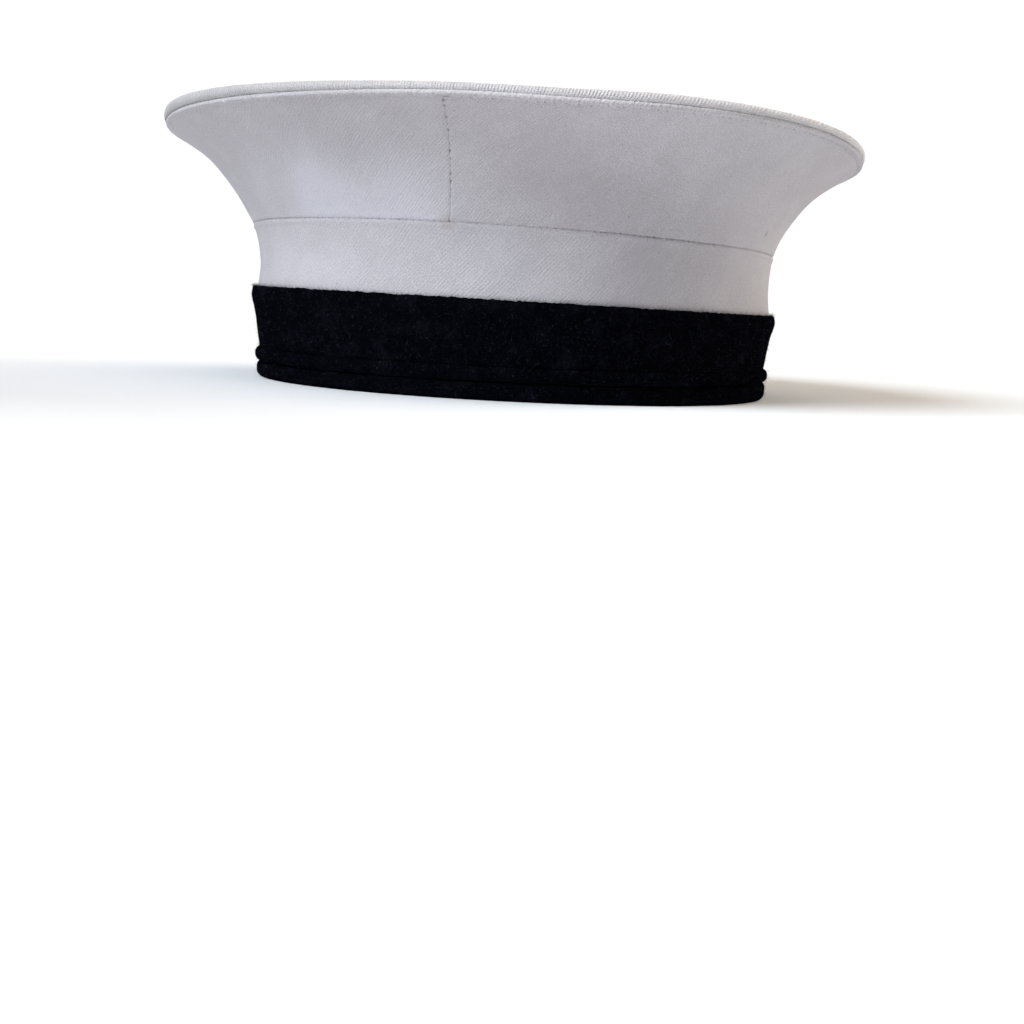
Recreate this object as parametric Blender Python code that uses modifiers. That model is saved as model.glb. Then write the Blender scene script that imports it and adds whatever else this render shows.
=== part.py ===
"""A sailor cap: flared white crown, white stand, and a wool band with a welt and a hem.

Units are metres and +Z is up. The front faces -Y, so the wearer's left is +X. The origin is at the
centre of the head opening, in the plane that the hem rests on. Every piece is a wall of cloth that
follows rings: ellipses that may rise to the front, rise to one side, shift sideways and twist a little.
"""

from collections import namedtuple
from math import cos, exp, pi, radians, sin

import bmesh
import bpy

MM = 0.001

Ring = namedtuple("Ring", "half_width half_depth side_shift height front_rise side_rise twist dip")
Section = namedtuple("Section", "height spread")
TopSection = namedtuple("TopSection", "radius sag")
Dent = namedtuple("Dent", "angle height turn_spread height_spread depth")

# The base is the groove between the hem and the welt: half its width from ear to ear, half its depth
BASE_HALF_WIDTH = 89.2 * MM
BASE_HALF_DEPTH = 96.8 * MM

# How much wider each cloth is at its top than at its foot, at the side and at the front
BAND_FLARE = 2.9 * MM            # the same all round, beyond the base
STAND_SPREAD_SIDE = 2.1 * MM     # the top of the stand, beyond the base
STAND_SPREAD_FRONT = 0.6 * MM
WALL_SPREAD_SIDE = 30.1 * MM     # the crease at the rim, beyond the top of the stand
WALL_SPREAD_FRONT = 28.9 * MM

# Heights of what shows, at the middle of each ring
HEM_HEIGHT = 5.7 * MM
WELT_HEIGHT = 4.3 * MM
BAND_HEIGHT = 19.4 * MM
STAND_HEIGHT = 20.5 * MM         # from the top of the band to the seam
WALL_HEIGHT = 30.8 * MM

# How much more each cloth rises to the front, rises to the wearer's left and leans that way
HEM_SIDE_RISE = 0.5 * MM
BAND_FRONT_RISE = 1.9 * MM
BAND_SIDE_RISE = -1.0 * MM
BAND_LEAN = -0.3 * MM
STAND_FRONT_RISE = 2.5 * MM
STAND_SIDE_RISE = 0.1 * MM
STAND_LEAN = -1.2 * MM
STAND_SWAY = 0.4 * MM            # how far the middle of the stand bows to the wearer's left
WALL_FRONT_RISE = 8.7 * MM
WALL_SIDE_RISE = 2.2 * MM
WALL_LEAN = -1.3 * MM
WALL_SWAY = -0.9 * MM
RIM_TWIST = 1.1 * MM             # both sides of the rim stand this much over a flat ellipse
RIM_DIP = 0.5 * MM               # the rim dips by this a little to the wearer's left of the front

# Cloth
WOOL_THICKNESS = 1.6 * MM
STAND_THICKNESS = 1.5 * MM
WALL_THICKNESS = 1.2 * MM
TOP_THICKNESS = 1.6 * MM
CLOTH_GAP = 0.3 * MM             # the clearance between two pieces that are sewn together

# Edges and seams
HEM_PROUD = 0.5 * MM
HEM_EDGE_ROUND = 1.4 * MM
WELT_PROUD = 1.2 * MM
BAND_FOOT_INSET = 0.3 * MM       # how far the band's foot lies inside the base
BAND_EDGE_ROUND = 0.7 * MM
STAND_WAIST = 1.2 * MM           # how far the stand draws in between its seams
RIDGE_HEIGHT = 0.9 * MM          # the stitched fold along the wall's top edge, which stands upright
DENT_DEPTH = 1.0 * MM            # the depth that the dents below are shares of
SEAM_LEAN_TOP = radians(0.6)     # the front seam's turn from the front at the rim
SEAM_LEAN_FOOT = radians(-1.3)   # and at the stand
SEAM_BOW = radians(0.7)          # and how far its middle bows

# The crown's top and its rolled edge
ROLL_HEIGHT = 3.1 * MM
ROLL_WIDTH = 3.2 * MM
ROLL_PROUD = 0.9 * MM            # how far the roll stands out beyond the crease
ROLL_SIDE_GAIN = 0.35 * MM       # the roll is taller on the wearer's left by this, lower on the right
ROLL_PINCH = 1.5 * MM            # the roll is pulled down by this at the front
ROLL_LEDGE = 1.2 * MM            # from the roll's inner side to the flat underside of the top
TOP_DIP = 0.4 * MM               # the top lies this far under the crest of its roll
TOP_SAG = 2.2 * MM               # the middle of the top sags by this

# Angles around the cap, from +X
PINCH_ANGLE = radians(-88.0)
PINCH_SPREAD = radians(26.0)
DIP_ANGLE = radians(-68.0)
DIP_SPREAD = radians(13.0)
FRONT = radians(-90.0)
BACK = radians(90.0)

# Facets: around a whole ring, around the roll, around the welt, and up the part of the stand that shows
ROUND_STEPS = 60
ROLL_STEPS = 6
WELT_STEPS = 6
STAND_STEPS = 3
HEM_ROUND_STEPS = 3
BAND_ROUND_STEPS = 2
SHARP_ANGLE = radians(50.0)      # edges that turn by more than this are shaded sharp
BEVEL_ANGLE = radians(60.0)      # and by more than this are rounded

# The wool band, from its foot to its top edge, as shares of its height and of its flare
BAND_SECTIONS = (
    Section(height=0.00, spread=0.00),
    Section(height=0.30, spread=0.30),
    Section(height=0.62, spread=0.62),
    Section(height=0.88, spread=1.00),
    Section(height=1.00, spread=0.95),
)

# The flared wall, from the stand to the rim, as shares of its height and of its spread
WALL_SECTIONS = (
    Section(height=0.00, spread=0.000),
    Section(height=0.12, spread=0.055),
    Section(height=0.28, spread=0.155),
    Section(height=0.45, spread=0.285),
    Section(height=0.62, spread=0.435),
    Section(height=0.80, spread=0.655),
    Section(height=1.00, spread=1.000),
)

# The crown's top, from its roll to its middle, as shares of its radius and of its sag
TOP_SECTIONS = (
    TopSection(radius=0.96, sag=0.03),
    TopSection(radius=0.84, sag=0.25),
    TopSection(radius=0.60, sag=0.64),
    TopSection(radius=0.30, sag=0.92),
)

# Soft dents of the wall: where each is, how far it spreads and its share of the depth, which is
# negative where the cloth swells. Heights are shares of the wall's height.
WALL_DENTS = (
    Dent(radians(-67.0), 0.48, radians(15.0), 0.26, 0.9),
    Dent(radians(-38.0), 0.40, radians(14.0), 0.30, -0.5),
    Dent(radians(-112.0), 0.55, radians(13.0), 0.30, 0.4),
    Dent(radians(-150.0), 0.45, radians(16.0), 0.30, 0.6),
    Dent(radians(20.0), 0.50, radians(18.0), 0.30, 0.6),
    Dent(radians(62.0), 0.55, radians(16.0), 0.30, -0.6),
    Dent(radians(128.0), 0.45, radians(20.0), 0.30, 0.7),
)

WHITE_CLOTH = (0.62, 0.60, 0.65, 1.0)
WHITE_ROUGHNESS = 0.85
WHITE_SHEEN = 0.1
NAVY_WOOL = (0.004, 0.004, 0.007, 1.0)
WOOL_ROUGHNESS = 0.95
WOOL_SHEEN = 0.3


def stack(ring, height, spread_side=0.0, spread_front=0.0, lean=0.0, front_rise=0.0, side_rise=0.0):
    """The ring at the top of a cloth that stands on another ring."""
    return ring._replace(
        half_width=ring.half_width + spread_side,
        half_depth=ring.half_depth + spread_front,
        side_shift=ring.side_shift + lean,
        height=ring.height + height,
        front_rise=ring.front_rise + front_rise,
        side_rise=ring.side_rise + side_rise,
    )


# What stands on what: the welt on the hem and the wool band on the welt, each by the clearance
WELT_FOOT = HEM_HEIGHT + CLOTH_GAP
BAND_FOOT = WELT_FOOT + WELT_HEIGHT + CLOTH_GAP

# How far inside the base the back of the welt and the outer face of the stand lie
WELT_BACK_INSET = BAND_FOOT_INSET + WOOL_THICKNESS
STAND_INSET = WELT_BACK_INSET + CLOTH_GAP

GROUND_RING = Ring(BASE_HALF_WIDTH, BASE_HALF_DEPTH, 0.0, 0.0, 0.0, 0.0, 0.0, 0.0)
HEM_RING = stack(GROUND_RING, HEM_HEIGHT, side_rise=HEM_SIDE_RISE)
BAND_RING = stack(
    HEM_RING, BAND_FOOT + BAND_HEIGHT - HEM_HEIGHT, lean=BAND_LEAN, front_rise=BAND_FRONT_RISE,
    side_rise=BAND_SIDE_RISE)
SEAM_RING = stack(
    BAND_RING, STAND_HEIGHT, STAND_SPREAD_SIDE, STAND_SPREAD_FRONT, STAND_LEAN, STAND_FRONT_RISE,
    STAND_SIDE_RISE)
RIM_RING = stack(
    SEAM_RING, WALL_HEIGHT, WALL_SPREAD_SIDE, WALL_SPREAD_FRONT, WALL_LEAN, WALL_FRONT_RISE,
    WALL_SIDE_RISE)._replace(twist=RIM_TWIST, dip=RIM_DIP)
CENTRE_RING = Ring(0.0, 0.0, RIM_RING.side_shift, RIM_RING.height, 0.0, 0.0, 0.0, 0.0)


def mix(low, high, share):
    """The value a share of the way from low to high."""
    return low + (high - low) * share


def mix_rings(low, high, spread, rise):
    """The ring between two others: spread shares out their plans, rise shares out their heights."""
    return Ring(
        mix(low.half_width, high.half_width, spread),
        mix(low.half_depth, high.half_depth, spread),
        mix(low.side_shift, high.side_shift, spread),
        mix(low.height, high.height, rise),
        mix(low.front_rise, high.front_rise, rise),
        mix(low.side_rise, high.side_rise, rise),
        mix(low.twist, high.twist, rise),
        mix(low.dip, high.dip, rise),
    )


def bell(distance, spread):
    """A soft bump of height 1 that fades with the distance from its middle."""
    return exp(-((distance / spread) ** 2))


def turn_between(first, second):
    """The smallest turn between two angles."""
    return (first - second + pi) % (2.0 * pi) - pi


def ring_point(ring, angle, inset=0.0, lift=0.0):
    """A point of the ring at an angle from +X, moved inwards by inset and up by lift."""
    x = ring.side_shift + (ring.half_width - inset) * cos(angle)
    y = (ring.half_depth - inset) * sin(angle)
    tilt = ring.side_rise * cos(angle) - ring.front_rise * sin(angle)
    wave = ring.twist * cos(2.0 * angle) - ring.dip * bell(turn_between(angle, DIP_ANGLE), DIP_SPREAD)
    return x, y, ring.height + lift + tilt + wave


def whole_turn():
    """The angles of the facets around a whole ring."""
    return [2.0 * pi * step / ROUND_STEPS for step in range(ROUND_STEPS)]


def band_level(height):
    """The ring of the base at a height within the hem, the welt or the wool band."""
    if height <= HEM_HEIGHT:
        share = height / HEM_HEIGHT
        return mix_rings(GROUND_RING, HEM_RING, share, share)
    share = (height - HEM_HEIGHT) / (BAND_RING.height - HEM_HEIGHT)
    return mix_rings(HEM_RING, BAND_RING, share, share)


def clear_scene():
    """Remove the objects and collections that the file starts with."""
    for obj in list(bpy.data.objects):
        bpy.data.objects.remove(obj, do_unlink=True)
    for collection in list(bpy.data.collections):
        bpy.data.collections.remove(collection)


def cloth_material(name, colour, roughness, sheen):
    """A cloth finish for one piece."""
    material = bpy.data.materials.new(name)
    material.use_nodes = True
    shader = material.node_tree.nodes["Principled BSDF"]
    shader.inputs["Base Color"].default_value = colour
    shader.inputs["Roughness"].default_value = roughness
    shader.inputs["Metallic"].default_value = 0.0
    shader.inputs["Sheen Weight"].default_value = sheen
    return material


def white_cloth(name):
    """The white twill of the crown and the stand."""
    return cloth_material(name, WHITE_CLOTH, WHITE_ROUGHNESS, WHITE_SHEEN)


def navy_wool(name):
    """The milled wool of the band."""
    return cloth_material(name, NAVY_WOOL, WOOL_ROUGHNESS, WOOL_SHEEN)


def loft(name, rows, material, collection, round_closed=True, profile_closed=False):
    """A skin over rows of points that run upwards on the outside. A row of one point is a pole."""
    bm = bmesh.new()
    verts = [[bm.verts.new(point) for point in row] for row in rows]
    pairs = list(zip(verts, verts[1:]))
    if profile_closed:
        pairs.append((verts[-1], verts[0]))
    for lower, upper in pairs:
        count = max(len(lower), len(upper))
        for here in range(count if round_closed else count - 1):
            there = (here + 1) % count
            if len(lower) == 1:
                bm.faces.new((lower[0], upper[there], upper[here]))
            elif len(upper) == 1:
                bm.faces.new((lower[here], lower[there], upper[0]))
            else:
                bm.faces.new((lower[here], lower[there], upper[there], upper[here]))
    mesh = bpy.data.meshes.new(name)
    bm.to_mesh(mesh)
    bm.free()
    mesh.shade_smooth()
    mesh.set_sharp_from_angle(angle=SHARP_ANGLE)
    mesh.materials.append(material)
    obj = bpy.data.objects.new(name, mesh)
    collection.objects.link(obj)
    return obj


def thicken(obj, thickness):
    """Give an open skin its cloth thickness, on its inner side."""
    solidify = obj.modifiers.new("cloth", "SOLIDIFY")
    solidify.thickness = thickness
    solidify.offset = -1.0
    solidify.use_even_offset = True
    solidify.use_rim = True


def round_edges(obj, width, segments):
    """Round the sharp edges of a thickened skin."""
    bevel = obj.modifiers.new("rounding", "BEVEL")
    bevel.width = width
    bevel.segments = segments
    bevel.limit_method = "ANGLE"
    bevel.angle_limit = BEVEL_ANGLE


def make_hem(collection):
    """The turned edge at the bottom, which lies under the stand and the wool band."""
    rows = [
        [ring_point(ring, angle, -HEM_PROUD) for angle in whole_turn()]
        for ring in (GROUND_RING, HEM_RING)]
    hem = loft("hem", rows, navy_wool("hem_wool"), collection)
    thicken(hem, HEM_PROUD + STAND_INSET + STAND_THICKNESS)
    round_edges(hem, HEM_EDGE_ROUND, HEM_ROUND_STEPS)


def make_welt(collection):
    """The round ridge over the hem: a bowed outer face and a plain back against the stand."""
    rows = []
    for step in range(WELT_STEPS + 1):
        turn = pi * (step / WELT_STEPS - 0.5)
        ring = band_level(WELT_FOOT + WELT_HEIGHT * (0.5 + 0.5 * sin(turn)))
        inset = mix(BAND_FOOT_INSET, -WELT_PROUD, cos(turn))
        rows.append([ring_point(ring, angle, inset) for angle in whole_turn()])
    for height in (WELT_FOOT + WELT_HEIGHT, WELT_FOOT):
        rows.append([ring_point(band_level(height), angle, WELT_BACK_INSET) for angle in whole_turn()])
    loft("welt", rows, navy_wool("welt_wool"), collection, profile_closed=True)


def make_wool_band(collection):
    """The wool band around the stand, which leans out to a soft top edge."""
    rows = []
    for section in BAND_SECTIONS:
        ring = band_level(BAND_FOOT + BAND_HEIGHT * section.height)
        inset = mix(BAND_FOOT_INSET, -BAND_FLARE, section.spread)
        rows.append([ring_point(ring, angle, inset) for angle in whole_turn()])
    band = loft("wool_band", rows, navy_wool("band_wool"), collection)
    thicken(band, WOOL_THICKNESS)
    round_edges(band, BAND_EDGE_ROUND, BAND_ROUND_STEPS)


def sway(ring, reach, share):
    """The ring moved sideways by a bow that is nothing at both ends of the cloth."""
    return ring._replace(side_shift=ring.side_shift + reach * sin(pi * share))


def make_stand(collection):
    """The white stand, from the hem up inside the wool band and on to the seam under the wall."""
    rows = []
    for height in (WELT_FOOT, BAND_FOOT):
        rows.append([ring_point(band_level(height), angle, STAND_INSET) for angle in whole_turn()])
    band_top_inset = mix(BAND_FOOT_INSET, -BAND_FLARE, BAND_SECTIONS[-1].spread)
    mouth_inset = band_top_inset + WOOL_THICKNESS + CLOTH_GAP
    mouth = stack(BAND_RING, 0.0, -mouth_inset, -mouth_inset)
    for step in range(STAND_STEPS + 1):
        share = step / STAND_STEPS
        ring = sway(mix_rings(mouth, SEAM_RING, share, share), STAND_SWAY, share)
        waist = STAND_WAIST * sin(pi * share)
        rows.append([ring_point(ring, angle, waist) for angle in whole_turn()])
    thicken(loft("stand", rows, white_cloth("stand_cloth"), collection), STAND_THICKNESS)


def wall_inset(angle, share):
    """How far the soft dents draw the wall in at a place."""
    inset = 0.0
    for dent in WALL_DENTS:
        around = bell(turn_between(angle, dent.angle), dent.turn_spread)
        inset += DENT_DEPTH * dent.depth * around * bell(share - dent.height, dent.height_spread)
    return inset * sin(pi * share)


def make_wall(name, collection, turn_sign):
    """One half of the flared wall, from the seam at the front round one side to the seam at the back."""
    foot_ring = stack(SEAM_RING, CLOTH_GAP)
    ridge_ring = stack(RIM_RING, -RIDGE_HEIGHT)
    half_gap = 0.5 * CLOTH_GAP / SEAM_RING.half_depth
    steps = ROUND_STEPS // 2
    places = [
        (sway(mix_rings(foot_ring, ridge_ring, row.spread, row.height), WALL_SWAY, row.height), row.height)
        for row in WALL_SECTIONS]
    places.append((RIM_RING, 1.0))
    rows = []
    for ring, share in places:
        lean = mix(SEAM_LEAN_FOOT, SEAM_LEAN_TOP, share) + SEAM_BOW * sin(pi * share)
        start = FRONT + lean + turn_sign * half_gap
        end = (BACK if turn_sign > 0 else BACK - 2.0 * pi) - turn_sign * half_gap
        angles = [mix(start, end, step / steps) for step in range(steps + 1)]
        row = [ring_point(ring, angle, wall_inset(angle, share)) for angle in angles]
        rows.append(row if turn_sign > 0 else row[::-1])
    wall = loft(name, rows, white_cloth(name + "_cloth"), collection, round_closed=False)
    thicken(wall, WALL_THICKNESS)


def roll_height(angle):
    """The height of the rolled edge at an angle."""
    pinch = ROLL_PINCH * bell(turn_between(angle, PINCH_ANGLE), PINCH_SPREAD)
    return ROLL_HEIGHT + ROLL_SIDE_GAIN * cos(angle) - pinch


def disc_row(section, drop):
    """A ring of the crown's disc, at a drop under its upper face."""
    share = section.radius
    ring = mix_rings(CENTRE_RING, RIM_RING, share, share)
    level = CLOTH_GAP - TOP_DIP - TOP_SAG * section.sag - drop
    return [
        ring_point(ring, angle, lift=level + mix(ROLL_HEIGHT, roll_height(angle), share))
        for angle in whole_turn()]


def disc_pole(drop):
    """The middle of the crown's disc, at a drop under its upper face."""
    return [ring_point(CENTRE_RING, 0.0, lift=CLOTH_GAP + ROLL_HEIGHT - TOP_DIP - TOP_SAG - drop)]


def roll_row(turn):
    """A ring of the rolled edge, at a turn from its outermost point towards its crest."""
    inset = 0.5 * ROLL_WIDTH * (1.0 - cos(turn)) - ROLL_PROUD
    rise = 0.5 + 0.5 * sin(turn)
    return [
        ring_point(RIM_RING, angle, inset, CLOTH_GAP + roll_height(angle) * rise)
        for angle in whole_turn()]


def ledge_row():
    """The ring under the roll's inner side, where the flat underside of the disc begins."""
    inset = ROLL_WIDTH - ROLL_PROUD + ROLL_LEDGE
    row = []
    for angle in whole_turn():
        rise = max(0.0, roll_height(angle) - TOP_DIP - TOP_THICKNESS)
        row.append(ring_point(RIM_RING, angle, inset, CLOTH_GAP + rise))
    return row


def make_crown_top(collection):
    """The top of the crown: one cloth disc whose edge is a roll over the crease at the rim."""
    rows = [disc_pole(TOP_THICKNESS)]
    rows += [disc_row(section, TOP_THICKNESS) for section in reversed(TOP_SECTIONS)]
    rows.append(ledge_row())
    rows += [roll_row(pi * (step / ROLL_STEPS - 0.5)) for step in range(ROLL_STEPS + 1)]
    rows += [disc_row(section, 0.0) for section in TOP_SECTIONS]
    rows.append(disc_pole(0.0))
    loft("crown_top", rows, white_cloth("top_cloth"), collection)


def main():
    """Build every piece of the cap."""
    clear_scene()
    collection = bpy.data.collections.new("sailor_cap")
    bpy.context.scene.collection.children.link(collection)
    make_hem(collection)
    make_welt(collection)
    make_wool_band(collection)
    make_stand(collection)
    make_wall("wall_left", collection, 1.0)
    make_wall("wall_right", collection, -1.0)
    make_crown_top(collection)


main()
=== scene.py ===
"""Dress of a sailor cap: a white twill crown and stand over a milled wool band, welt and hem.

Lengths are in metres and +Z is up. The front faces -Y, so the wearer's left is +X, and the origin is at
the centre of the head opening. Each cloth is a skin of rows and columns over the rings of the cap.
"""

from __future__ import annotations

import logging
from dataclasses import dataclass, field, replace
from enum import Enum
from math import cos, pi, radians, sin, tau
from typing import Sequence

import bpy
import numpy as np
from mathutils import Matrix, Vector, noise


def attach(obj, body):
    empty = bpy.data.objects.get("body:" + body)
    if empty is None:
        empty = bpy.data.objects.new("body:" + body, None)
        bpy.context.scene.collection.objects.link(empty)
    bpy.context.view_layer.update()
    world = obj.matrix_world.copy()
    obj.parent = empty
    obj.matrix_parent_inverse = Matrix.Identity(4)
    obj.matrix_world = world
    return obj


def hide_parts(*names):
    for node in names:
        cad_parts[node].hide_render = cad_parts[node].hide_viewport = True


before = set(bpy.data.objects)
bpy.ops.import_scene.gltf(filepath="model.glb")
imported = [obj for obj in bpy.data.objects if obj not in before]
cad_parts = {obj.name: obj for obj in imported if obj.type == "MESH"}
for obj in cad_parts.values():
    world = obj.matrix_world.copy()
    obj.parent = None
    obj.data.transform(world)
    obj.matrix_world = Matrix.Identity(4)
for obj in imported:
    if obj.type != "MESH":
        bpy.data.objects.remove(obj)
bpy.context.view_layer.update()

MM = 0.001
FRONT = radians(-90.0)
BACK = radians(90.0)
WOOL_RADIUS = 90.0 * MM
SEAM_RADIUS = 94.0 * MM
RIM_RADIUS = 124.0 * MM

Colour = tuple[float, float, float]
log = logging.getLogger("sailor_cap")


def bell(distance: np.ndarray | float, spread: float) -> np.ndarray:
    """A soft bump of height 1 that fades with the distance from its middle."""
    return np.exp(-((distance / spread) ** 2))


def turn_between(first: np.ndarray | float, second: float) -> np.ndarray:
    """The smallest turn between two angles."""
    return (first - second + pi) % tau - pi


def mix(low: np.ndarray | float, high: np.ndarray | float, share: np.ndarray | float) -> np.ndarray:
    """The value a share of the way from low to high."""
    return low + (high - low) * share


def rough(points: np.ndarray, size: float, seed: float = 0.0) -> np.ndarray:
    """Smooth random heights over a grid of points.

    Args:
        points: The places, in metres, with x, y and z on the last axis.
        size: How large one bump is, in metres.
        seed: Moves the pattern, so that two uses of it differ.

    Returns:
        A value from about -1 to 1 for each place.
    """
    places = (points / size + seed).reshape(-1, 3)
    return np.array([noise.noise(place) for place in places.tolist()]).reshape(points.shape[:-1])


@dataclass(frozen=True)
class Waver:
    """Small random bumps of a cloth: their height, the size of one, and a seed that sets them apart."""

    height: float
    size: float
    seed: float

    def over(self, points: np.ndarray) -> np.ndarray:
        """The height of the bumps at each place."""
        return self.height * rough(points, self.size, self.seed)


@dataclass(frozen=True)
class Ridge:
    """A soft ridge along a line of the cloth, or a groove if its height is below 0."""

    height: float
    spread: float

    def over(self, distance: np.ndarray | float) -> np.ndarray:
        """The height of the ridge at each distance from its line."""
        return self.height * bell(distance, self.spread)


def ring_angles(columns: int, crowding: float = 0.4) -> np.ndarray:
    """The angles of a ring's columns, which stand closer at the front than at the back."""
    turns = np.arange(columns) / columns
    return (BACK + tau * turns + crowding * np.sin(tau * turns))[None, :]


def outward(points: np.ndarray, ring: bool) -> np.ndarray:
    """The outward normals of a grid whose rows run up and whose columns run to the wearer's left.

    Args:
        points: The grid, rows by columns by 3.
        ring: Whether the columns close into a ring.

    Returns:
        A unit vector for each point.
    """
    if ring:
        across = np.roll(points, -1, axis=1) - np.roll(points, 1, axis=1)
    else:
        across = np.gradient(points, axis=1)
    normals = np.cross(across, np.gradient(points, axis=0))
    return normals / np.maximum(np.linalg.norm(normals, axis=-1, keepdims=True), 1e-12)


@dataclass(frozen=True)
class Section:
    """A row of a profile: its share of the cloth's height and its share of the cloth's spread."""

    height: float
    spread: float


def smooth_through(table: Sequence[Section], heights: np.ndarray, ease: float = 0.0) -> np.ndarray:
    """The spread shares on a smooth curve through a table of sections.

    Args:
        table: The sections, from the lowest up.
        heights: The height shares to read the curve at.
        ease: How wide a stretch of the curve each value is averaged over, to round its bends off.

    Returns:
        The spread share at each height share.
    """
    if ease:
        room = np.minimum(heights, 1.0 - heights)
        steps = np.minimum(ease, room)[..., None] * np.array([-1.0, -0.5, 0.0, 0.5, 1.0])
        return smooth_through(table, np.asarray(heights)[..., None] + steps).mean(axis=-1)
    xs = np.array([row.height for row in table])
    ys = np.array([row.spread for row in table])
    slopes = np.gradient(ys, xs)
    low = np.clip(np.searchsorted(xs, heights, side="right") - 1, 0, len(xs) - 2)
    width = xs[low + 1] - xs[low]
    t = (heights - xs[low]) / width
    start = (2 * t**3 - 3 * t**2 + 1) * ys[low] + (t**3 - 2 * t**2 + t) * width * slopes[low]
    end = (3 * t**2 - 2 * t**3) * ys[low + 1] + (t**3 - t**2) * width * slopes[low + 1]
    return start + end


@dataclass(frozen=True)
class Swell:
    """A rise of the rim, or a dip if below 0: its middle, its spread, its height and how far it draws in."""

    angle: float
    spread: float
    height: float
    draw: float = 0.0

    def share(self, angles: np.ndarray) -> np.ndarray:
        """How much of it each angle has."""
        return bell(turn_between(angles, self.angle), self.spread)


RIM_SWELLS = (
    Swell(radians(-72.0), radians(13.0), -0.75 * MM),
    Swell(radians(-105.0), radians(22.0), -0.3 * MM),
    Swell(radians(-170.0), radians(30.0), 0.75 * MM),
    Swell(radians(-28.0), radians(22.0), 1.0 * MM),
    Swell(radians(6.0), radians(12.0), -0.4 * MM),
    Swell(radians(20.0), radians(12.0), 0.0, draw=1.6 * MM),
    Swell(radians(176.0), radians(17.0), 0.0, draw=1.4 * MM),
)


@dataclass(frozen=True)
class Ring:
    """A level line of the cap: an ellipse that may rise to one side, shift sideways and twist a little.

    A field is a number, or an array with one value for each row of a grid.
    """

    half_width: float | np.ndarray
    half_depth: float | np.ndarray
    side_shift: float | np.ndarray = 0.0
    height: float | np.ndarray = 0.0
    front_rise: float | np.ndarray = 0.0
    side_rise: float | np.ndarray = 0.0
    twist: float | np.ndarray = 0.0
    swell: float | np.ndarray = 0.0

    def points(
        self, angles: np.ndarray, inset: np.ndarray | float = 0.0, lift: np.ndarray | float = 0.0
    ) -> np.ndarray:
        """Points of the ring.

        Args:
            angles: The angles around the cap, from +X.
            inset: How far each point lies inside the ring.
            lift: How far each point lies over the ring.

        Returns:
            The points, with x, y and z on the last axis.
        """
        inset = inset + self.swell * sum(item.draw * item.share(angles) for item in RIM_SWELLS)
        x = self.side_shift + (self.half_width - inset) * np.cos(angles)
        y = (self.half_depth - inset) * np.sin(angles)
        tilt = self.side_rise * np.cos(angles) - self.front_rise * np.sin(angles)
        swells = sum(item.height * item.share(angles) for item in RIM_SWELLS)
        z = self.height + lift + tilt + self.twist * np.cos(2.0 * angles) + self.swell * swells
        return np.stack(np.broadcast_arrays(x, y, z), axis=-1)

    def stack(
        self, height: float, spread_side: float = 0.0, spread_front: float = 0.0, lean: float = 0.0,
        front_rise: float = 0.0, side_rise: float = 0.0,
    ) -> Ring:
        """The ring at the top of a cloth that stands on this one.

        Args:
            height: The height of the cloth.
            spread_side: How much wider it is at its top, on each side.
            spread_front: How much deeper it is at its top, at the front and the back.
            lean: How far its top leans to the wearer's left.
            front_rise: How much more it rises at the front.
            side_rise: How much more it rises on the wearer's left.

        Returns:
            The upper ring.
        """
        return replace(
            self,
            half_width=self.half_width + spread_side,
            half_depth=self.half_depth + spread_front,
            side_shift=self.side_shift + lean,
            height=self.height + height,
            front_rise=self.front_rise + front_rise,
            side_rise=self.side_rise + side_rise,
        )

    def towards(self, high: Ring, spread: np.ndarray, rise: np.ndarray) -> Ring:
        """The rings between this one and a higher one.

        Args:
            high: The higher ring.
            spread: How far along each is in plan, from 0 to 1.
            rise: How far along each is in height, from 0 to 1.

        Returns:
            One ring whose fields are arrays of those shapes.
        """
        return Ring(
            half_width=mix(self.half_width, high.half_width, spread),
            half_depth=mix(self.half_depth, high.half_depth, spread),
            side_shift=mix(self.side_shift, high.side_shift, spread),
            height=mix(self.height, high.height, rise),
            front_rise=mix(self.front_rise, high.front_rise, rise),
            side_rise=mix(self.side_rise, high.side_rise, rise),
            twist=mix(self.twist, high.twist, rise),
            swell=mix(self.swell, high.swell, rise),
        )


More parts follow.
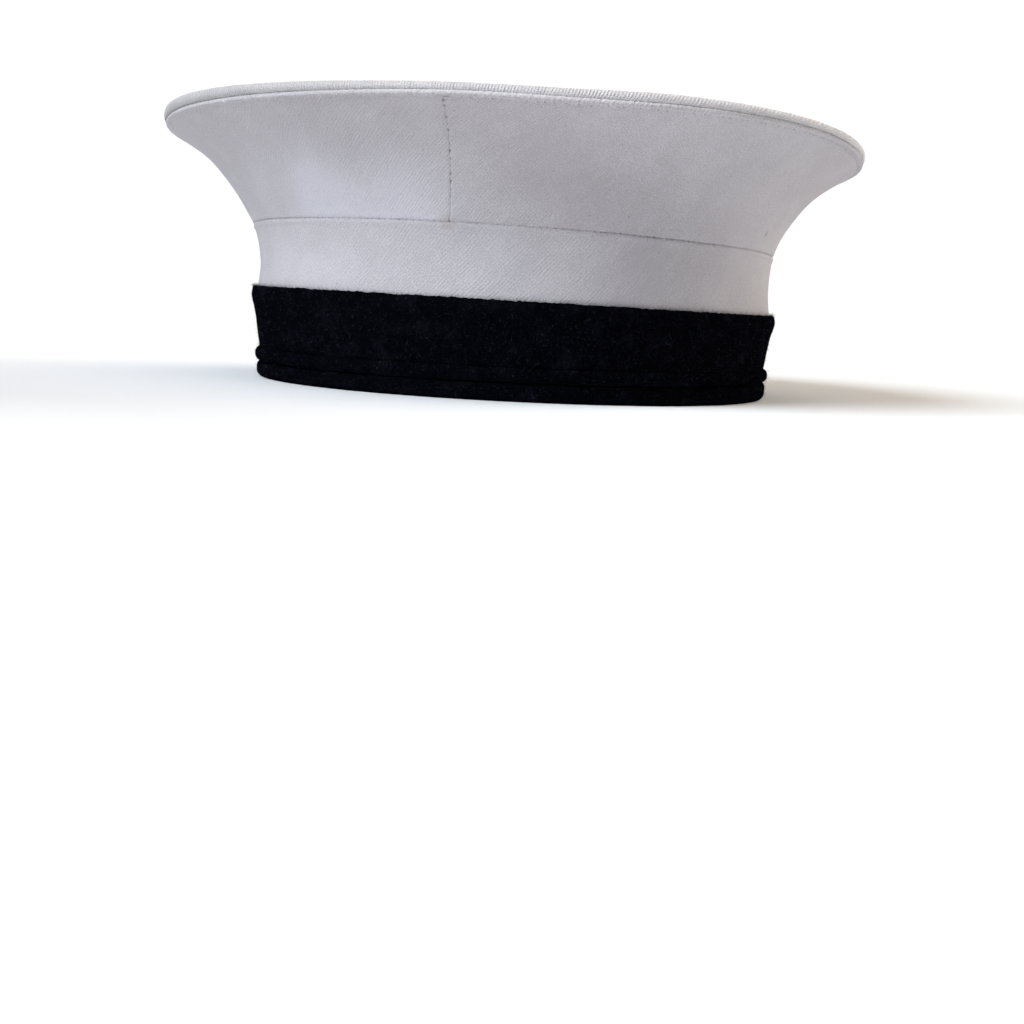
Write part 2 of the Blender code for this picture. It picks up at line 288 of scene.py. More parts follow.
@dataclass(frozen=True)
class CapForm:
    """The rings that the cloths share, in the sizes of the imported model."""

    half_width: float = 89.2 * MM
    half_depth: float = 96.8 * MM
    hem_height: float = 5.7 * MM
    welt_height: float = 4.3 * MM
    band_height: float = 19.4 * MM
    stand_height: float = 20.5 * MM
    wall_height: float = 30.8 * MM
    clearance: float = 0.3 * MM
    band_flare: float = 2.9 * MM
    band_foot_inset: float = 0.3 * MM
    wool_thickness: float = 1.6 * MM
    stand_thickness: float = 1.5 * MM
    wall_thickness: float = 1.2 * MM
    top_thickness: float = 1.6 * MM

    @property
    def welt_foot(self) -> float:
        """The height that the welt starts from."""
        return self.hem_height + self.clearance

    @property
    def band_foot(self) -> float:
        """The height that the wool band starts from."""
        return self.welt_foot + self.welt_height + self.clearance

    @property
    def stand_inset(self) -> float:
        """How far inside the base the foot of the stand lies, behind the wool."""
        return self.band_foot_inset + self.wool_thickness + self.clearance

    @property
    def ground(self) -> Ring:
        """The foot of the hem."""
        return Ring(self.half_width, self.half_depth)

    @property
    def hem(self) -> Ring:
        """The top of the hem."""
        return self.ground.stack(self.hem_height, side_rise=0.5 * MM)

    @property
    def band(self) -> Ring:
        """The top of the wool band, before its flare."""
        height = self.band_foot + self.band_height - self.hem_height
        return self.hem.stack(height, lean=-0.3 * MM, front_rise=1.9 * MM, side_rise=-1.0 * MM)

    @property
    def seam(self) -> Ring:
        """The seam between the stand and the wall."""
        return self.band.stack(
            self.stand_height, spread_side=2.1 * MM, spread_front=0.6 * MM, lean=-1.2 * MM,
            front_rise=2.5 * MM, side_rise=0.1 * MM)

    @property
    def rim(self) -> Ring:
        """The crease between the wall and the crown's top."""
        rim = self.seam.stack(
            self.wall_height, spread_side=30.1 * MM, spread_front=28.9 * MM, lean=-1.3 * MM,
            front_rise=8.7 * MM, side_rise=2.2 * MM)
        return replace(rim, twist=1.1 * MM, swell=1.0)

    def base_level(self, heights: np.ndarray) -> Ring:
        """The rings of the base at heights in the hem, the welt and the wool band, before any flare."""
        in_hem = np.clip(heights / self.hem_height, 0.0, 1.0)
        over_hem = np.clip((heights - self.hem_height) / (self.band.height - self.hem_height), 0.0, 1.0)
        low = self.ground.towards(self.hem, in_hem, in_hem)
        high = self.hem.towards(self.band, over_hem, over_hem)
        blend = (heights > self.hem_height).astype(float)
        return low.towards(high, blend, blend)


@dataclass
class Skin:
    """A closed skin of cloth: rows follow its profile, and columns run round the cap to the left.

    Above 0 they mark needle holes and the crease's stitches, darkened with painted shade and dirt; below 0
    they lay painted light on.
    """

    points: np.ndarray
    grain: np.ndarray
    holes_and_painted_light: np.ndarray
    girth: float = 0.0
    ring: bool = True
    tube: bool = True
    front_rows: int = 0

    def piece(self, name: str, material: bpy.types.Material) -> bpy.types.Object:
        """Makes the skin's mesh and object.

        Args:
            name: The object's name.
            material: The finish of the whole skin.

        Returns:
            The object, smooth, with its grain as UVs and its needle holes and painted light as an attribute.
        """
        rows, columns = self.points.shape[:2]
        low, here = np.meshgrid(
            np.arange(rows if self.tube else rows - 1),
            np.arange(columns if self.ring else columns - 1),
            indexing="ij",
        )
        high, there = (low + 1) % rows, (here + 1) % columns
        corners = ((low, here), (low, there), (high, there), (high, here))
        quads = np.stack([row * columns + column for row, column in corners], axis=-1).reshape(-1, 4)
        wrap = np.where(there == 0, self.girth, 0.0)
        grain = np.stack([self.grain[row, column] for row, column in corners], axis=-2)
        grain[:, :, 1:3, 0] += wrap[:, :, None]
        caps: list[list[int]] = []
        if not self.tube:
            caps = [list(range(columns))[::-1], list(range((rows - 1) * columns, rows * columns))]
        if not self.ring:
            strip = zip_up(self.front_rows, rows)
            caps = [[row * columns for row in face] for face in strip]
            caps += [[row * columns + columns - 1 for row in face[::-1]] for face in strip]
        mesh = bpy.data.meshes.new(name)
        mesh.from_pydata(self.points.reshape(-1, 3).tolist(), [], quads.tolist() + caps)
        flat = np.concatenate([grain.reshape(-1), np.zeros(2 * sum(map(len, caps)))])
        mesh.uv_layers.new(name="grain").data.foreach_set("uv", flat.astype(np.float32))
        holes_and_painted_light = mesh.attributes.new("hole_and_painted_light", "FLOAT", "POINT")
        holes_and_painted_light.data.foreach_set("value", self.holes_and_painted_light.reshape(-1).astype(np.float32))
        mesh.materials.append(material)
        mesh.shade_smooth()
        piece = bpy.data.objects.new(name, mesh)
        bpy.context.scene.collection.objects.link(piece)
        return piece


def zip_up(front_rows: int, rows: int) -> list[list[int]]:
    """The triangles that close the open end of a skin, between its front rows and its back rows.

    Args:
        front_rows: How many rows the outer face has.
        rows: How many rows there are in all, with the back's last.

    Returns:
        The faces, as lists of row numbers.
    """
    front, back, faces = 0, rows - 1, []
    while front < front_rows - 1 or back > front_rows:
        front_share = front / (front_rows - 1)
        back_share = (rows - 1 - back) / max(rows - 1 - front_rows, 1)
        if back == front_rows or (front < front_rows - 1 and front_share <= back_share):
            faces.append([front, front + 1, back])
            front += 1
        else:
            faces.append([front, back - 1, back])
            back -= 1
    return faces


def with_back(
    front: np.ndarray, plain: np.ndarray, thickness: float, picks: Sequence[int], ring: bool
) -> np.ndarray:
    """Closes a skin with a coarser back face.

    Args:
        front: The detailed outer face, rows by columns by 3.
        plain: The same face without its details.
        thickness: The cloth's thickness.
        picks: The rows that the back follows, from the top down.
        ring: Whether the columns close into a ring.

    Returns:
        The outer rows, and then the back's rows.
    """
    back = plain - outward(plain, ring) * thickness
    return np.concatenate([front, back[list(picks)]])


def pad_rows(values: np.ndarray, count: int) -> np.ndarray:
    """Lengthens a grid by rows of zeros, for the back of a skin."""
    return np.concatenate([values, np.zeros((count, *values.shape[1:]))])


def cloth_grain(reach: np.ndarray, distances: np.ndarray) -> np.ndarray:
    """The places of a grid on its flat cloth, from reaches along the rows and a distance for each row."""
    return np.stack(np.broadcast_arrays(reach, distances[:, None]), axis=-1)


def wool_skin(points: np.ndarray, angles: np.ndarray, length: float) -> Skin:
    """The skin of a wool ring, with no needle holes.

    Args:
        points: The points, rows by columns by 3.
        angles: The angles of the columns.
        length: How long the cloth is across the rows.

    Returns:
        The skin, with its cloth laid out flat.
    """
    grain = cloth_grain(angles * WOOL_RADIUS, np.linspace(0.0, length, len(points)))
    return Skin(points, grain, np.zeros(points.shape[:2]), tau * WOOL_RADIUS)


@dataclass(frozen=True)
class Stitching:
    """A row of needle holes: their pitch, how uneven it is, the reach of one hole, and the row's radius."""

    pitch: float
    unevenness: float
    reach: float
    seed: int
    radius: float = 0.0
    mean_strength: float = 0.75
    strength_swing: float = 0.25
    swing_rate: float = 2.3

    def pull(self, along: np.ndarray, length: float, across: np.ndarray | float = 0.0) -> np.ndarray:
        """How far each place is drawn into a hole.

        Args:
            along: The distance of each place along the row.
            length: The length of the row.
            across: The distance of each place from the row.

        Returns:
            A share for each place: 1 in the middle of a hole.
        """
        rng = np.random.default_rng(self.seed)
        count = int(length / self.pitch * 1.5) + 2
        steps = self.pitch * (1.0 + self.unevenness * rng.uniform(-1.0, 1.0, count))
        holes = np.cumsum(steps)
        after = np.clip(np.searchsorted(holes, along), 1, count - 1)
        nearest = np.minimum(np.abs(along - holes[after - 1]), np.abs(along - holes[after]))
        swing = np.sin(holes[after] / self.pitch * self.swing_rate)
        strength = self.mean_strength + self.strength_swing * swing
        return bell(nearest, self.reach) * bell(across, self.reach) * strength

    def around(self, angles: np.ndarray, across: np.ndarray | float = 0.0) -> np.ndarray:
        """How far places at angles are drawn into the holes of a row that runs round the cap."""
        return self.pull((angles - FRONT) % tau * self.radius, tau * self.radius, across)


class Graph:
    """Builds a material's nodes, one call for each."""

    def __init__(self, name: str) -> None:
        """Starts a material that holds only its output and a Principled BSDF."""
        self.material = bpy.data.materials.new(name)
        self.material.use_nodes = True
        self.tree = self.material.node_tree
        self.shader = self.tree.nodes["Principled BSDF"]

    def node(self, kind: str, **inputs: object) -> bpy.types.Node:
        """Adds a node.

        Args:
            kind: The node's type, without its ShaderNode prefix.
            inputs: Settings of the node in lower case, and values or links for its sockets, whose names
                start with a capital and have _ for a space.

        Returns:
            The node.
        """
        node = self.tree.nodes.new("ShaderNode" + kind)
        for key, value in inputs.items():
            if key[0].islower():
                setattr(node, key, value)
        for key, value in inputs.items():
            if not key[0].islower():
                self.feed(node.inputs[key.replace("_", " ")], value)
        return node

    def feed(self, socket: bpy.types.NodeSocket, value: object) -> None:
        """Links a socket to another, or gives it a value."""
        if isinstance(value, bpy.types.NodeSocket):
            self.tree.links.new(value, socket)
        else:
            socket.default_value = value

    def sum(self, operation: str, first: object, second: object = 0.5, third: object = 0.5) -> object:
        """A Math node's result."""
        node = self.tree.nodes.new("ShaderNodeMath")
        node.operation = operation
        for socket, value in zip(node.inputs, (first, second, third)):
            self.feed(socket, value)
        return node.outputs[0]

    def ramp(self, value: object, low: float, high: float, start: float = 0.0, end: float = 1.0) -> object:
        """A value moved smoothly from one range into another."""
        node = self.node("MapRange", interpolation_type="SMOOTHSTEP", Value=value)
        for name, number in (("From Min", low), ("From Max", high), ("To Min", start), ("To Max", end)):
            node.inputs[name].default_value = number
        return node.outputs[0]

    def blend(self, share: object, first: object, second: object) -> object:
        """A colour a share of the way between two others."""
        node = self.node("Mix", data_type="RGBA")
        for socket, value in zip((node.inputs[0], node.inputs[6], node.inputs[7]), (share, first, second)):
            self.feed(socket, (*value, 1.0) if isinstance(value, tuple) else value)
        return node.outputs[2]

    def noise(
        self, place: object, size: float, detail: float = 2.0, roughness: float = 0.5, distortion: float = 0.0
    ) -> object:
        """The value of a noise whose bumps have a size in metres."""
        node = self.node(
            "TexNoise", Vector=place, Scale=1.0 / size, Detail=detail, Roughness=roughness,
            Distortion=distortion)
        return node.outputs["Fac"]

    def bands(self, place: object, axis: str, pitch: float, waver: float, waver_scale: float) -> object:
        """The value of wavering bands that lie a pitch in metres apart along an axis."""
        node = self.node(
            "TexWave", wave_type="BANDS", bands_direction=axis, Vector=place, Scale=pi / (10.0 * pitch),
            Distortion=waver, Detail=2.0, Detail_Scale=waver_scale)
        return node.outputs["Fac"]

    def dress(self, colour: object, relief: object | None = None, **settings: object) -> bpy.types.Material:
        """Ends the material.

        Args:
            colour: The base colour.
            relief: The height of its fine relief in metres, if it has one.
            settings: Values or links for more of the shader's sockets, with _ for a space.

        Returns:
            The material.
        """
        self.feed(self.shader.inputs["Base Color"], colour)
        if relief is not None:
            bump = self.node("Bump", Strength=1.0, Distance=1.0, Height=relief)
            self.feed(self.shader.inputs["Normal"], bump.outputs[0])
        for name, value in settings.items():
            self.feed(self.shader.inputs[name.replace("_", " ")], value)
        return self.material


@dataclass(frozen=True)
class StainAndPaintedLight:
    """A tinted mark on the cloth, for stains and for patches of painted shade and painted highlight: where it
    is, how far it reaches, its tint and how strong it is.
    """

    place: tuple[float, float, float]
    reach: float
    tint: Colour
    strength: float


@dataclass(frozen=True)
class TwillFinish:
    """White wool twill: fine slanting ribs of crossed yarns, with a faint nap and small specks."""

    name: str
    colour: Colour = (0.665, 0.645, 0.692)
    shade: Colour = (0.425, 0.400, 0.434)
    rib_pitch: float = 0.95 * MM
    rib_slant: float = radians(46.0)
    rib_height: float = 0.14 * MM
    rib_shade: float = 0.24
    rib_waver: float = 4.5
    grain_size: float = 0.45 * MM
    grain_height: float = 0.20 * MM
    grain_shade: float = 0.62
    yarn_pitch: float = 0.55 * MM
    yarn_waver: float = 2.5
    yarn_share: float = 0.45
    nap_size: float = 1.3 * MM
    nap_height: float = 0.12 * MM
    nap_shade: float = 0.18
    cloud_size: float = 16.0 * MM
    cloud_shade: float = 0.14
    wear_size: float = 5.0 * MM
    speck_spacing: float = 7.0 * MM
    speck_shade: float = 0.35
    # The hole colour serves the specks, and the painted shade and dirt in needle holes.
    hole_colour: Colour = (0.085, 0.075, 0.090)
    hole_shade: float = 0.85
    # Painted light: the colours and share that values below 0 of the cloth's attribute blend to, lighter for
    # a painted highlight and darker for painted shade.
    painted_light_colour: Colour = (0.93, 0.91, 0.94)
    painted_light_low_colour: Colour = (0.76, 0.74, 0.77)
    painted_light_share: float = 0.9
    stains_and_painted_light: tuple[StainAndPaintedLight, ...] = ()

    def material(self) -> bpy.types.Material:
        """Builds the finish as a material."""
        graph = Graph(self.name)
        grain = graph.node("UVMap", uv_map="grain").outputs[0]
        place = graph.node("TexCoord").outputs["Object"]
        turn = (0.0, 0.0, pi / 2.0 - self.rib_slant)
        cloth = graph.node("Mapping", vector_type="POINT", Vector=grain, Rotation=turn).outputs[0]
        ribs = graph.bands(cloth, "X", self.rib_pitch, self.rib_waver, 0.35)
        yarns = graph.bands(cloth, "Y", self.yarn_pitch, self.yarn_waver, 0.6)
        nap = graph.noise(place, self.nap_size, 4.0, 0.7)
        grains = graph.noise(cloth, self.grain_size)
        clouds = graph.noise(place, self.cloud_size, 3.0, 0.55)
        wear = graph.noise(place, self.wear_size, 2.0, 0.6)
        rib = graph.sum("MULTIPLY", ribs, graph.ramp(wear, 0.25, 0.75, 0.35, 1.0))
        shade = graph.sum("MULTIPLY", graph.sum("SUBTRACT", 1.0, rib), self.rib_shade)
        for value, low, high, depth in (
            (grains, 0.3, 0.7, self.grain_shade),
            (nap, 0.3, 0.75, self.nap_shade),
            (clouds, 0.35, 0.7, self.cloud_shade),
        ):
            shade = graph.sum("ADD", shade, graph.ramp(value, low, high, depth, 0.0))
        # Values below 0 blend to the painted-light colours: a painted highlight along the wall's fold, and
        # painted shade on the crown's rolled edge.
        hole_and_painted_light = graph.node("Attribute", attribute_name="hole_and_painted_light").outputs["Fac"]
        painted_light = graph.ramp(hole_and_painted_light, -1.0, 0.0, self.painted_light_share, 0.0)
        light = graph.blend(painted_light, self.colour, self.painted_light_colour)
        colour = graph.blend(shade, light, graph.blend(painted_light, self.shade, self.painted_light_low_colour))
        specks = graph.node("TexVoronoi", Vector=place, Scale=1.0 / self.speck_spacing, Randomness=1.0)
        speck = graph.ramp(specks.outputs["Distance"], 0.035, 0.06, self.speck_shade, 0.0)
        colour = graph.blend(speck, colour, self.hole_colour)
        # Each mark is a real stain or a patch of painted shade or painted highlight.
        for mark in self.stains_and_painted_light:
            near = graph.node("VectorMath", operation="DISTANCE")
            graph.feed(near.inputs[0], place)
            near.inputs[1].default_value = mark.place
            reach = graph.sum("MULTIPLY", near.outputs["Value"], graph.ramp(nap, 0.3, 0.7, 0.75, 1.25))
            share = graph.ramp(reach, 0.2 * mark.reach, mark.reach, mark.strength, 0.0)
            colour = graph.blend(share, colour, mark.tint)
        # Painted shade and dirt: needle holes and the crease's stitches darken towards the hole colour.
        colour = graph.blend(graph.ramp(hole_and_painted_light, 0.25, 0.85, 0.0, self.hole_shade), colour, self.hole_colour)
        relief = graph.sum("MULTIPLY", rib, self.rib_height)
        for value, height in (
            (yarns, self.yarn_share * self.rib_height), (nap, self.nap_height), (grains, self.grain_height)
        ):
            relief = graph.sum("MULTIPLY_ADD", value, height, relief)
        return graph.dress(
            colour, relief, Roughness=graph.ramp(nap, 0.3, 0.7, 0.78, 0.92), Sheen_Weight=0.12,
            Sheen_Roughness=0.5, Specular_IOR_Level=0.25)


@dataclass(frozen=True)
class WoolFinish:
    """Milled navy wool: almost black, with curly fibres that catch the light."""

    name: str
    colour: Colour = (0.0012, 0.0013, 0.0026)
    fibre: Colour = (0.045, 0.052, 0.074)
    fibre_size: float = 2.0 * MM
    fibre_width: float = 0.020
    felt_size: float = 0.55 * MM
    felt_height: float = 0.16 * MM
    fibre_share: float = 0.35
    cloud_size: float = 9.0 * MM

    def material(self) -> bpy.types.Material:
        """Builds the finish as a material."""
        graph = Graph(self.name)
        place = graph.node("TexCoord").outputs["Object"]
        lines = []
        for share in (1.0, 1.37):
            curl = graph.noise(place, self.fibre_size / share, 1.5, 0.4, 1.2)
            off = graph.sum("ABSOLUTE", graph.sum("SUBTRACT", curl, 0.5))
            lines.append(graph.ramp(off, 0.0, self.fibre_width, 1.0, 0.0))
        line = graph.sum("MAXIMUM", *lines)
        felt = graph.noise(place, self.felt_size, 5.0, 0.75)
        clouds = graph.noise(place, self.cloud_size, 3.0, 0.6)
        broken = graph.sum("MULTIPLY", line, graph.ramp(felt, 0.45, 0.7, 0.0, 0.6))
        share = graph.sum("ADD", broken, graph.ramp(clouds, 0.45, 0.8, 0.0, 0.06))
        relief = graph.sum("MULTIPLY", felt, self.felt_height)
        relief = graph.sum("MULTIPLY_ADD", line, self.fibre_share * self.felt_height, relief)
        colour = graph.blend(share, self.colour, self.fibre)
        return graph.dress(colour, relief, Roughness=0.95, Specular_IOR_Level=0.0)


@dataclass(frozen=True)
class FibreFinish:
    """Single loose wool fibres, a little lighter than the cloth that they stand out of."""

    name: str
    colour: Colour = (0.008, 0.009, 0.015)
    pale: Colour = (0.045, 0.052, 0.078)
    tone_size: float = 1.8 * MM

    def material(self) -> bpy.types.Material:
        """Builds the finish as a material."""
        graph = Graph(self.name)
        place = graph.node("TexCoord").outputs["Object"]
        share = graph.ramp(graph.noise(place, self.tone_size), 0.4, 0.7)
        colour = graph.blend(share, self.colour, self.pale)
        return graph.dress(colour, Roughness=0.8, Specular_IOR_Level=0.2)


@dataclass(frozen=True)
class Dent:
    """A soft dent of the wall: its place, its spreads and its share of the depth, or a swell if below 0."""

    angle: float
    height: float
    turn_spread: float
    height_spread: float
    depth: float


class Side(Enum):
    """The two halves of the wall, by the wearer's sides."""

    LEFT = "wall_left"
    RIGHT = "wall_right"


@dataclass(frozen=True)
class CrownSeams:
    """The stitching that the cloths of the crown share."""

    stand: Stitching = Stitching(2.4 * MM, 0.25, 0.42 * MM, seed=3, radius=SEAM_RADIUS)
    rim: Stitching = Stitching(2.9 * MM, 0.4, 0.50 * MM, seed=5, radius=RIM_RADIUS)
    crease: Stitching = Stitching(2.7 * MM, 0.3, 0.55 * MM, seed=8, radius=RIM_RADIUS)
    front: Stitching = Stitching(2.4 * MM, 0.12, 0.58 * MM, seed=11)
    press_angle: float = radians(-76.0)
    press_spread: float = radians(10.0)

    def pressed(self, angles: np.ndarray) -> np.ndarray:
        """How flat the crease is pressed at each angle: most at the front, beside its seam."""
        return bell(turn_between(angles, self.press_angle), self.press_spread)


@dataclass(frozen=True)
class FlaredWall:
    """One half of the flared wall, with its stitched ridge at the rim and its seams front and back."""

    form: CapForm
    side: Side
    seams: CrownSeams = CrownSeams()
    sections: tuple[Section, ...] = (
        Section(height=0.00, spread=0.000),
        Section(height=0.12, spread=0.055),
        Section(height=0.28, spread=0.155),
        Section(height=0.45, spread=0.285),
        Section(height=0.62, spread=0.435),
        Section(height=0.80, spread=0.655),
        Section(height=1.00, spread=1.000),
    )
    dents: tuple[Dent, ...] = (
        Dent(radians(-67.0), 0.48, radians(15.0), 0.26, 0.9),
        Dent(radians(-38.0), 0.40, radians(14.0), 0.30, -0.5),
        Dent(radians(-112.0), 0.55, radians(13.0), 0.30, 0.4),
        Dent(radians(-150.0), 0.45, radians(16.0), 0.30, 0.6),
        Dent(radians(20.0), 0.50, radians(18.0), 0.26, -0.3),
        Dent(radians(-169.0), 0.80, radians(28.0), 0.14, 0.6),
        Dent(radians(62.0), 0.55, radians(16.0), 0.30, -0.6),
        Dent(radians(128.0), 0.45, radians(20.0), 0.30, 0.7),
    )
    dent_depth: float = 1.0 * MM
    sway: float = -0.9 * MM
    slack: Waver = Waver(0.09 * MM, 13.0 * MM, 4.0)
    ripple: Waver = Waver(0.05 * MM, 5.0 * MM, 9.0)
    foot_lift: float = 0.02 * MM
    foot_groove: Ridge = Ridge(-0.26 * MM, 0.35 * MM)
    ridge_height: float = 0.9 * MM
    rim_margin: float = 0.5 * MM
    bead_radius: float = 1.0 * MM
    bead_proud: float = 1.0 * MM
    bead_top: float = 0.25 * MM
    bead_angle: float = radians(-70.0)
    bead_spread: float = radians(62.0)
    fold_turns: tuple[float, ...] = (-25.0, -8.0, 8.0, 22.0, 36.0, 50.0, 63.0, 75.0)
    fold_tuck: float = 0.9 * MM
    fold_reach: float = 1.6 * MM
    fold_spread: float = 0.9 * MM
    fold_lift: float = 0.45 * MM
    fold_waver: Waver = Waver(0.10 * MM, 1.4 * MM, 3.0)
    fold_grain: Waver = Waver(0.10 * MM, 1.5 * MM, 15.0)
    press_lift: float = 0.10 * MM
    stitch_pull: float = 0.16 * MM
    stitch_sink: float = 0.14 * MM
    first_sunk_row: int = 3
    # Painted highlight along the fold at the rim and the wall just under it: its middle angle, its spread,
    # its share on the wall and at the fold's foot.
    fold_highlight_angle: float = radians(-71.0)
    fold_highlight_spread: float = radians(42.0)
    fold_highlight_wall: float = 0.12
    fold_highlight_foot: float = 0.15
    seam_lean_foot: float = radians(-1.3)
    seam_lean_top: float = radians(0.6)
    seam_bow: float = radians(0.7)
    seam_overlap: float = 0.10 * MM
    seam_gap: float = 0.17 * MM
    seam_slack: float = 0.02 * MM
    seam_groove: Ridge = Ridge(-0.16 * MM, 0.42 * MM)
    seam_pull: Ridge = Ridge(-0.20 * MM, 0.42 * MM)
    lap_place: float = 1.0 * MM
    lap_left: Ridge = Ridge(0.16 * MM, 0.7 * MM)
    lap_right: Ridge = Ridge(0.05 * MM, 0.7 * MM)
    corner: Ridge = Ridge(0.20 * MM, 3.0 * MM)
    corner_drop: float = 2.5 * MM
    topstitch: Ridge = Ridge(-0.28 * MM, 0.8 * MM)
    stitch_drop: float = 2.5 * MM
    hole_depth: float = 0.40 * MM
    foot_hole_depth: float = 0.30 * MM
    seam_hole_reach: float = 0.35 * MM
    foot_hole_share: float = 0.7
    seam_hole_share: float = 0.75
    right_hole_share: float = 0.6
    ease: float = 0.11
    foot_rows: tuple[float, ...] = (0.0, 0.12 * MM, 0.26 * MM, 0.42 * MM, 0.62 * MM)
    foot_zone: float = 1.0 * MM
    spacing: float = 0.80 * MM
    row_margin: float = 0.3 * MM
    rim_zone: float = 3.4 * MM
    rim_rows: int = 14
    back_rows: int = 12
    lip_columns: tuple[float, ...] = (0.0, 0.1 * MM, 0.22 * MM, 0.38 * MM, 0.6 * MM)
    lip_room: float = 1.25
    columns: int = 1000
    crowding: float = 0.42
    grain_radius: float = 108.0 * MM

    def heights(self) -> tuple[np.ndarray, np.ndarray]:
        """The rows of the wall, evenly spaced along the cloth and closer near the rim.

        Returns:
            The height share of each row, and its distance along the cloth from the seam.
        """
        fine = np.linspace(0.0, 1.0, 400)
        reach = self.form.rim.half_width - self.form.seam.half_width
        rise = self.form.rim.height - self.form.seam.height - self.ridge_height
        spreads = smooth_through(self.sections, fine, self.ease)
        length = np.concatenate([[0.0], np.cumsum(np.hypot(np.diff(spreads) * reach, np.diff(fine) * rise))])
        last = length[-1] - self.rim_zone
        even = np.arange(self.foot_zone, last - self.row_margin, self.spacing)
        close = np.linspace(last, length[-1] - self.rim_margin, self.rim_rows)
        places = np.concatenate([self.foot_rows, even, close])
        return np.interp(places, length, fine), places

    def under_fold(self, along: np.ndarray) -> np.ndarray:
        """How far each row is from the fold at the rim: from 0 there to 1 where it ends."""
        return np.clip((along[-1] - along) / self.fold_reach, 0.0, 1.0)

    def front_pull(self, along: np.ndarray) -> np.ndarray:
        """How far each row is drawn in by a stitch of the front seam."""
        return self.seams.front.pull(along, along[-1])

    def angles(self, shares: np.ndarray, along: np.ndarray) -> tuple[np.ndarray, np.ndarray]:
        """The angles of every point, which follow the leaning seam at the front.

        Args:
            shares: The height share of each row.
            along: Each row's distance from the foot.

        Returns:
            The angles, rows by columns, and each point's distance from the front seam.
        """
        lean = mix(self.seam_lean_foot, self.seam_lean_top, shares) + self.seam_bow * np.sin(pi * shares)
        opening = self.seam_gap * self.front_pull(along) - self.seam_slack
        gap = mix(-self.seam_overlap, opening, self.under_fold(along)) / SEAM_RADIUS
        edge = np.array(self.lip_columns) / (pi * SEAM_RADIUS)
        even = np.linspace(0.0, 1.0, self.columns)
        crowded = even - self.crowding / pi * np.sin(pi * even)
        lip = self.lip_room * edge[-1]
        inner = crowded[(crowded > lip) & (crowded < 1.0 - lip)]
        columns = np.concatenate([edge, inner, 1.0 - edge[::-1]])
        if self.side is Side.RIGHT:
            columns = 1.0 - columns[::-1]
        if self.side is Side.LEFT:
            start, end = FRONT + lean + gap, np.full_like(gap, BACK) - gap
        else:
            start, end = np.full_like(gap, BACK) + gap, FRONT + tau + lean - gap
        angles = mix(start[:, None], end[:, None], columns[None, :])
        seam = start if self.side is Side.LEFT else end
        return angles, np.abs(angles - seam[:, None]) * SEAM_RADIUS

    def dent(self, angles: np.ndarray, shares: np.ndarray) -> np.ndarray:
        """How far the soft dents draw each place in."""
        inset = np.zeros(np.broadcast(angles, shares).shape)
        for dent in self.dents:
            around = bell(turn_between(angles, dent.angle), dent.turn_spread)
            inset += self.dent_depth * dent.depth * around * bell(shares - dent.height, dent.height_spread)
        return inset * np.sin(pi * shares)

    def bead(self, angles: np.ndarray) -> np.ndarray:
        """How full the fold at the rim is at each angle."""
        return bell(turn_between(angles, self.bead_angle), self.bead_spread)

    def fold(self, angles: np.ndarray) -> tuple[np.ndarray, np.ndarray]:
        """The rows of the fold that turns in under the crown's top.

        Args:
            angles: The angles of the columns at the rim.

        Returns:
            The rows of points, and the lift of each row.
        """
        ridge = self.form.rim.stack(-self.ridge_height)
        turns = np.radians(self.fold_turns)
        lifts = np.append((np.sin(turns) - 1.0) * self.bead_radius, 0.0) + self.ridge_height + self.bead_top
        insets = ((1.0 - np.cos(turns)) * self.bead_radius)[:, None] - self.bead_proud * self.bead(angles)
        insets = np.concatenate([insets, np.full((1, len(angles)), self.fold_tuck)])
        stitch = self.seams.crease.around(angles)
        pressed = self.seams.pressed(angles)
        insets = insets + self.stitch_pull * stitch + self.fold_waver.over(ridge.points(angles))
        rows = ridge.points(angles[None, :], insets, lifts[:, None] + self.press_lift * pressed)
        rows[self.first_sunk_row:, :, 2] -= self.stitch_sink * stitch * (1.0 - pressed)
        return rows, lifts

    def relief(
        self, plain: np.ndarray, angles: np.ndarray, along: np.ndarray, from_front: np.ndarray
    ) -> tuple[np.ndarray, np.ndarray]:
        """The fine relief of the wall and its needle holes.

        Args:
            plain: The wall's points.
            angles: Their angles.
            along: Each row's distance from the foot.
            from_front: Each point's distance from the front seam.

        Returns:
            How far each point stands out, and how deep in a hole it is.
        """
        below = (along[-1] - along)[:, None] + self.ridge_height + self.rim_margin
        rim_holes = self.seams.rim.around(angles, below - self.stitch_drop)
        rim_holes *= 1.0 if self.side is Side.LEFT else self.right_hole_share
        foot_holes = self.seams.stand.around(angles, np.broadcast_to(along[:, None], angles.shape))
        under = self.under_fold(along)[:, None]
        pull = self.front_pull(along)[:, None] * under
        fold = bell(below - self.ridge_height - self.rim_margin, self.fold_spread)
        detail = self.slack.over(plain) + self.ripple.over(plain)
        detail -= self.hole_depth * rim_holes + self.foot_hole_depth * foot_holes
        detail += fold * (self.fold_lift * self.bead(angles[-1]) + self.fold_grain.over(plain))
        detail += self.topstitch.over(below - self.stitch_drop) + self.foot_groove.over(along[:, None])
        from_back = np.abs(turn_between(angles, BACK)) * SEAM_RADIUS
        for distance in (from_front, from_back):
            detail += under * self.seam_groove.over(distance) + pull * self.seam_pull.over(distance)
        lap = self.lap_left if self.side is Side.LEFT else self.lap_right
        detail += lap.over(from_front - self.lap_place)
        detail += self.corner.over(from_front) * bell(below, self.corner_drop)
        seam_holes = self.seam_hole_share * pull * bell(from_front, self.seam_hole_reach)
        return detail, np.maximum.reduce([rim_holes, self.foot_hole_share * foot_holes, seam_holes])

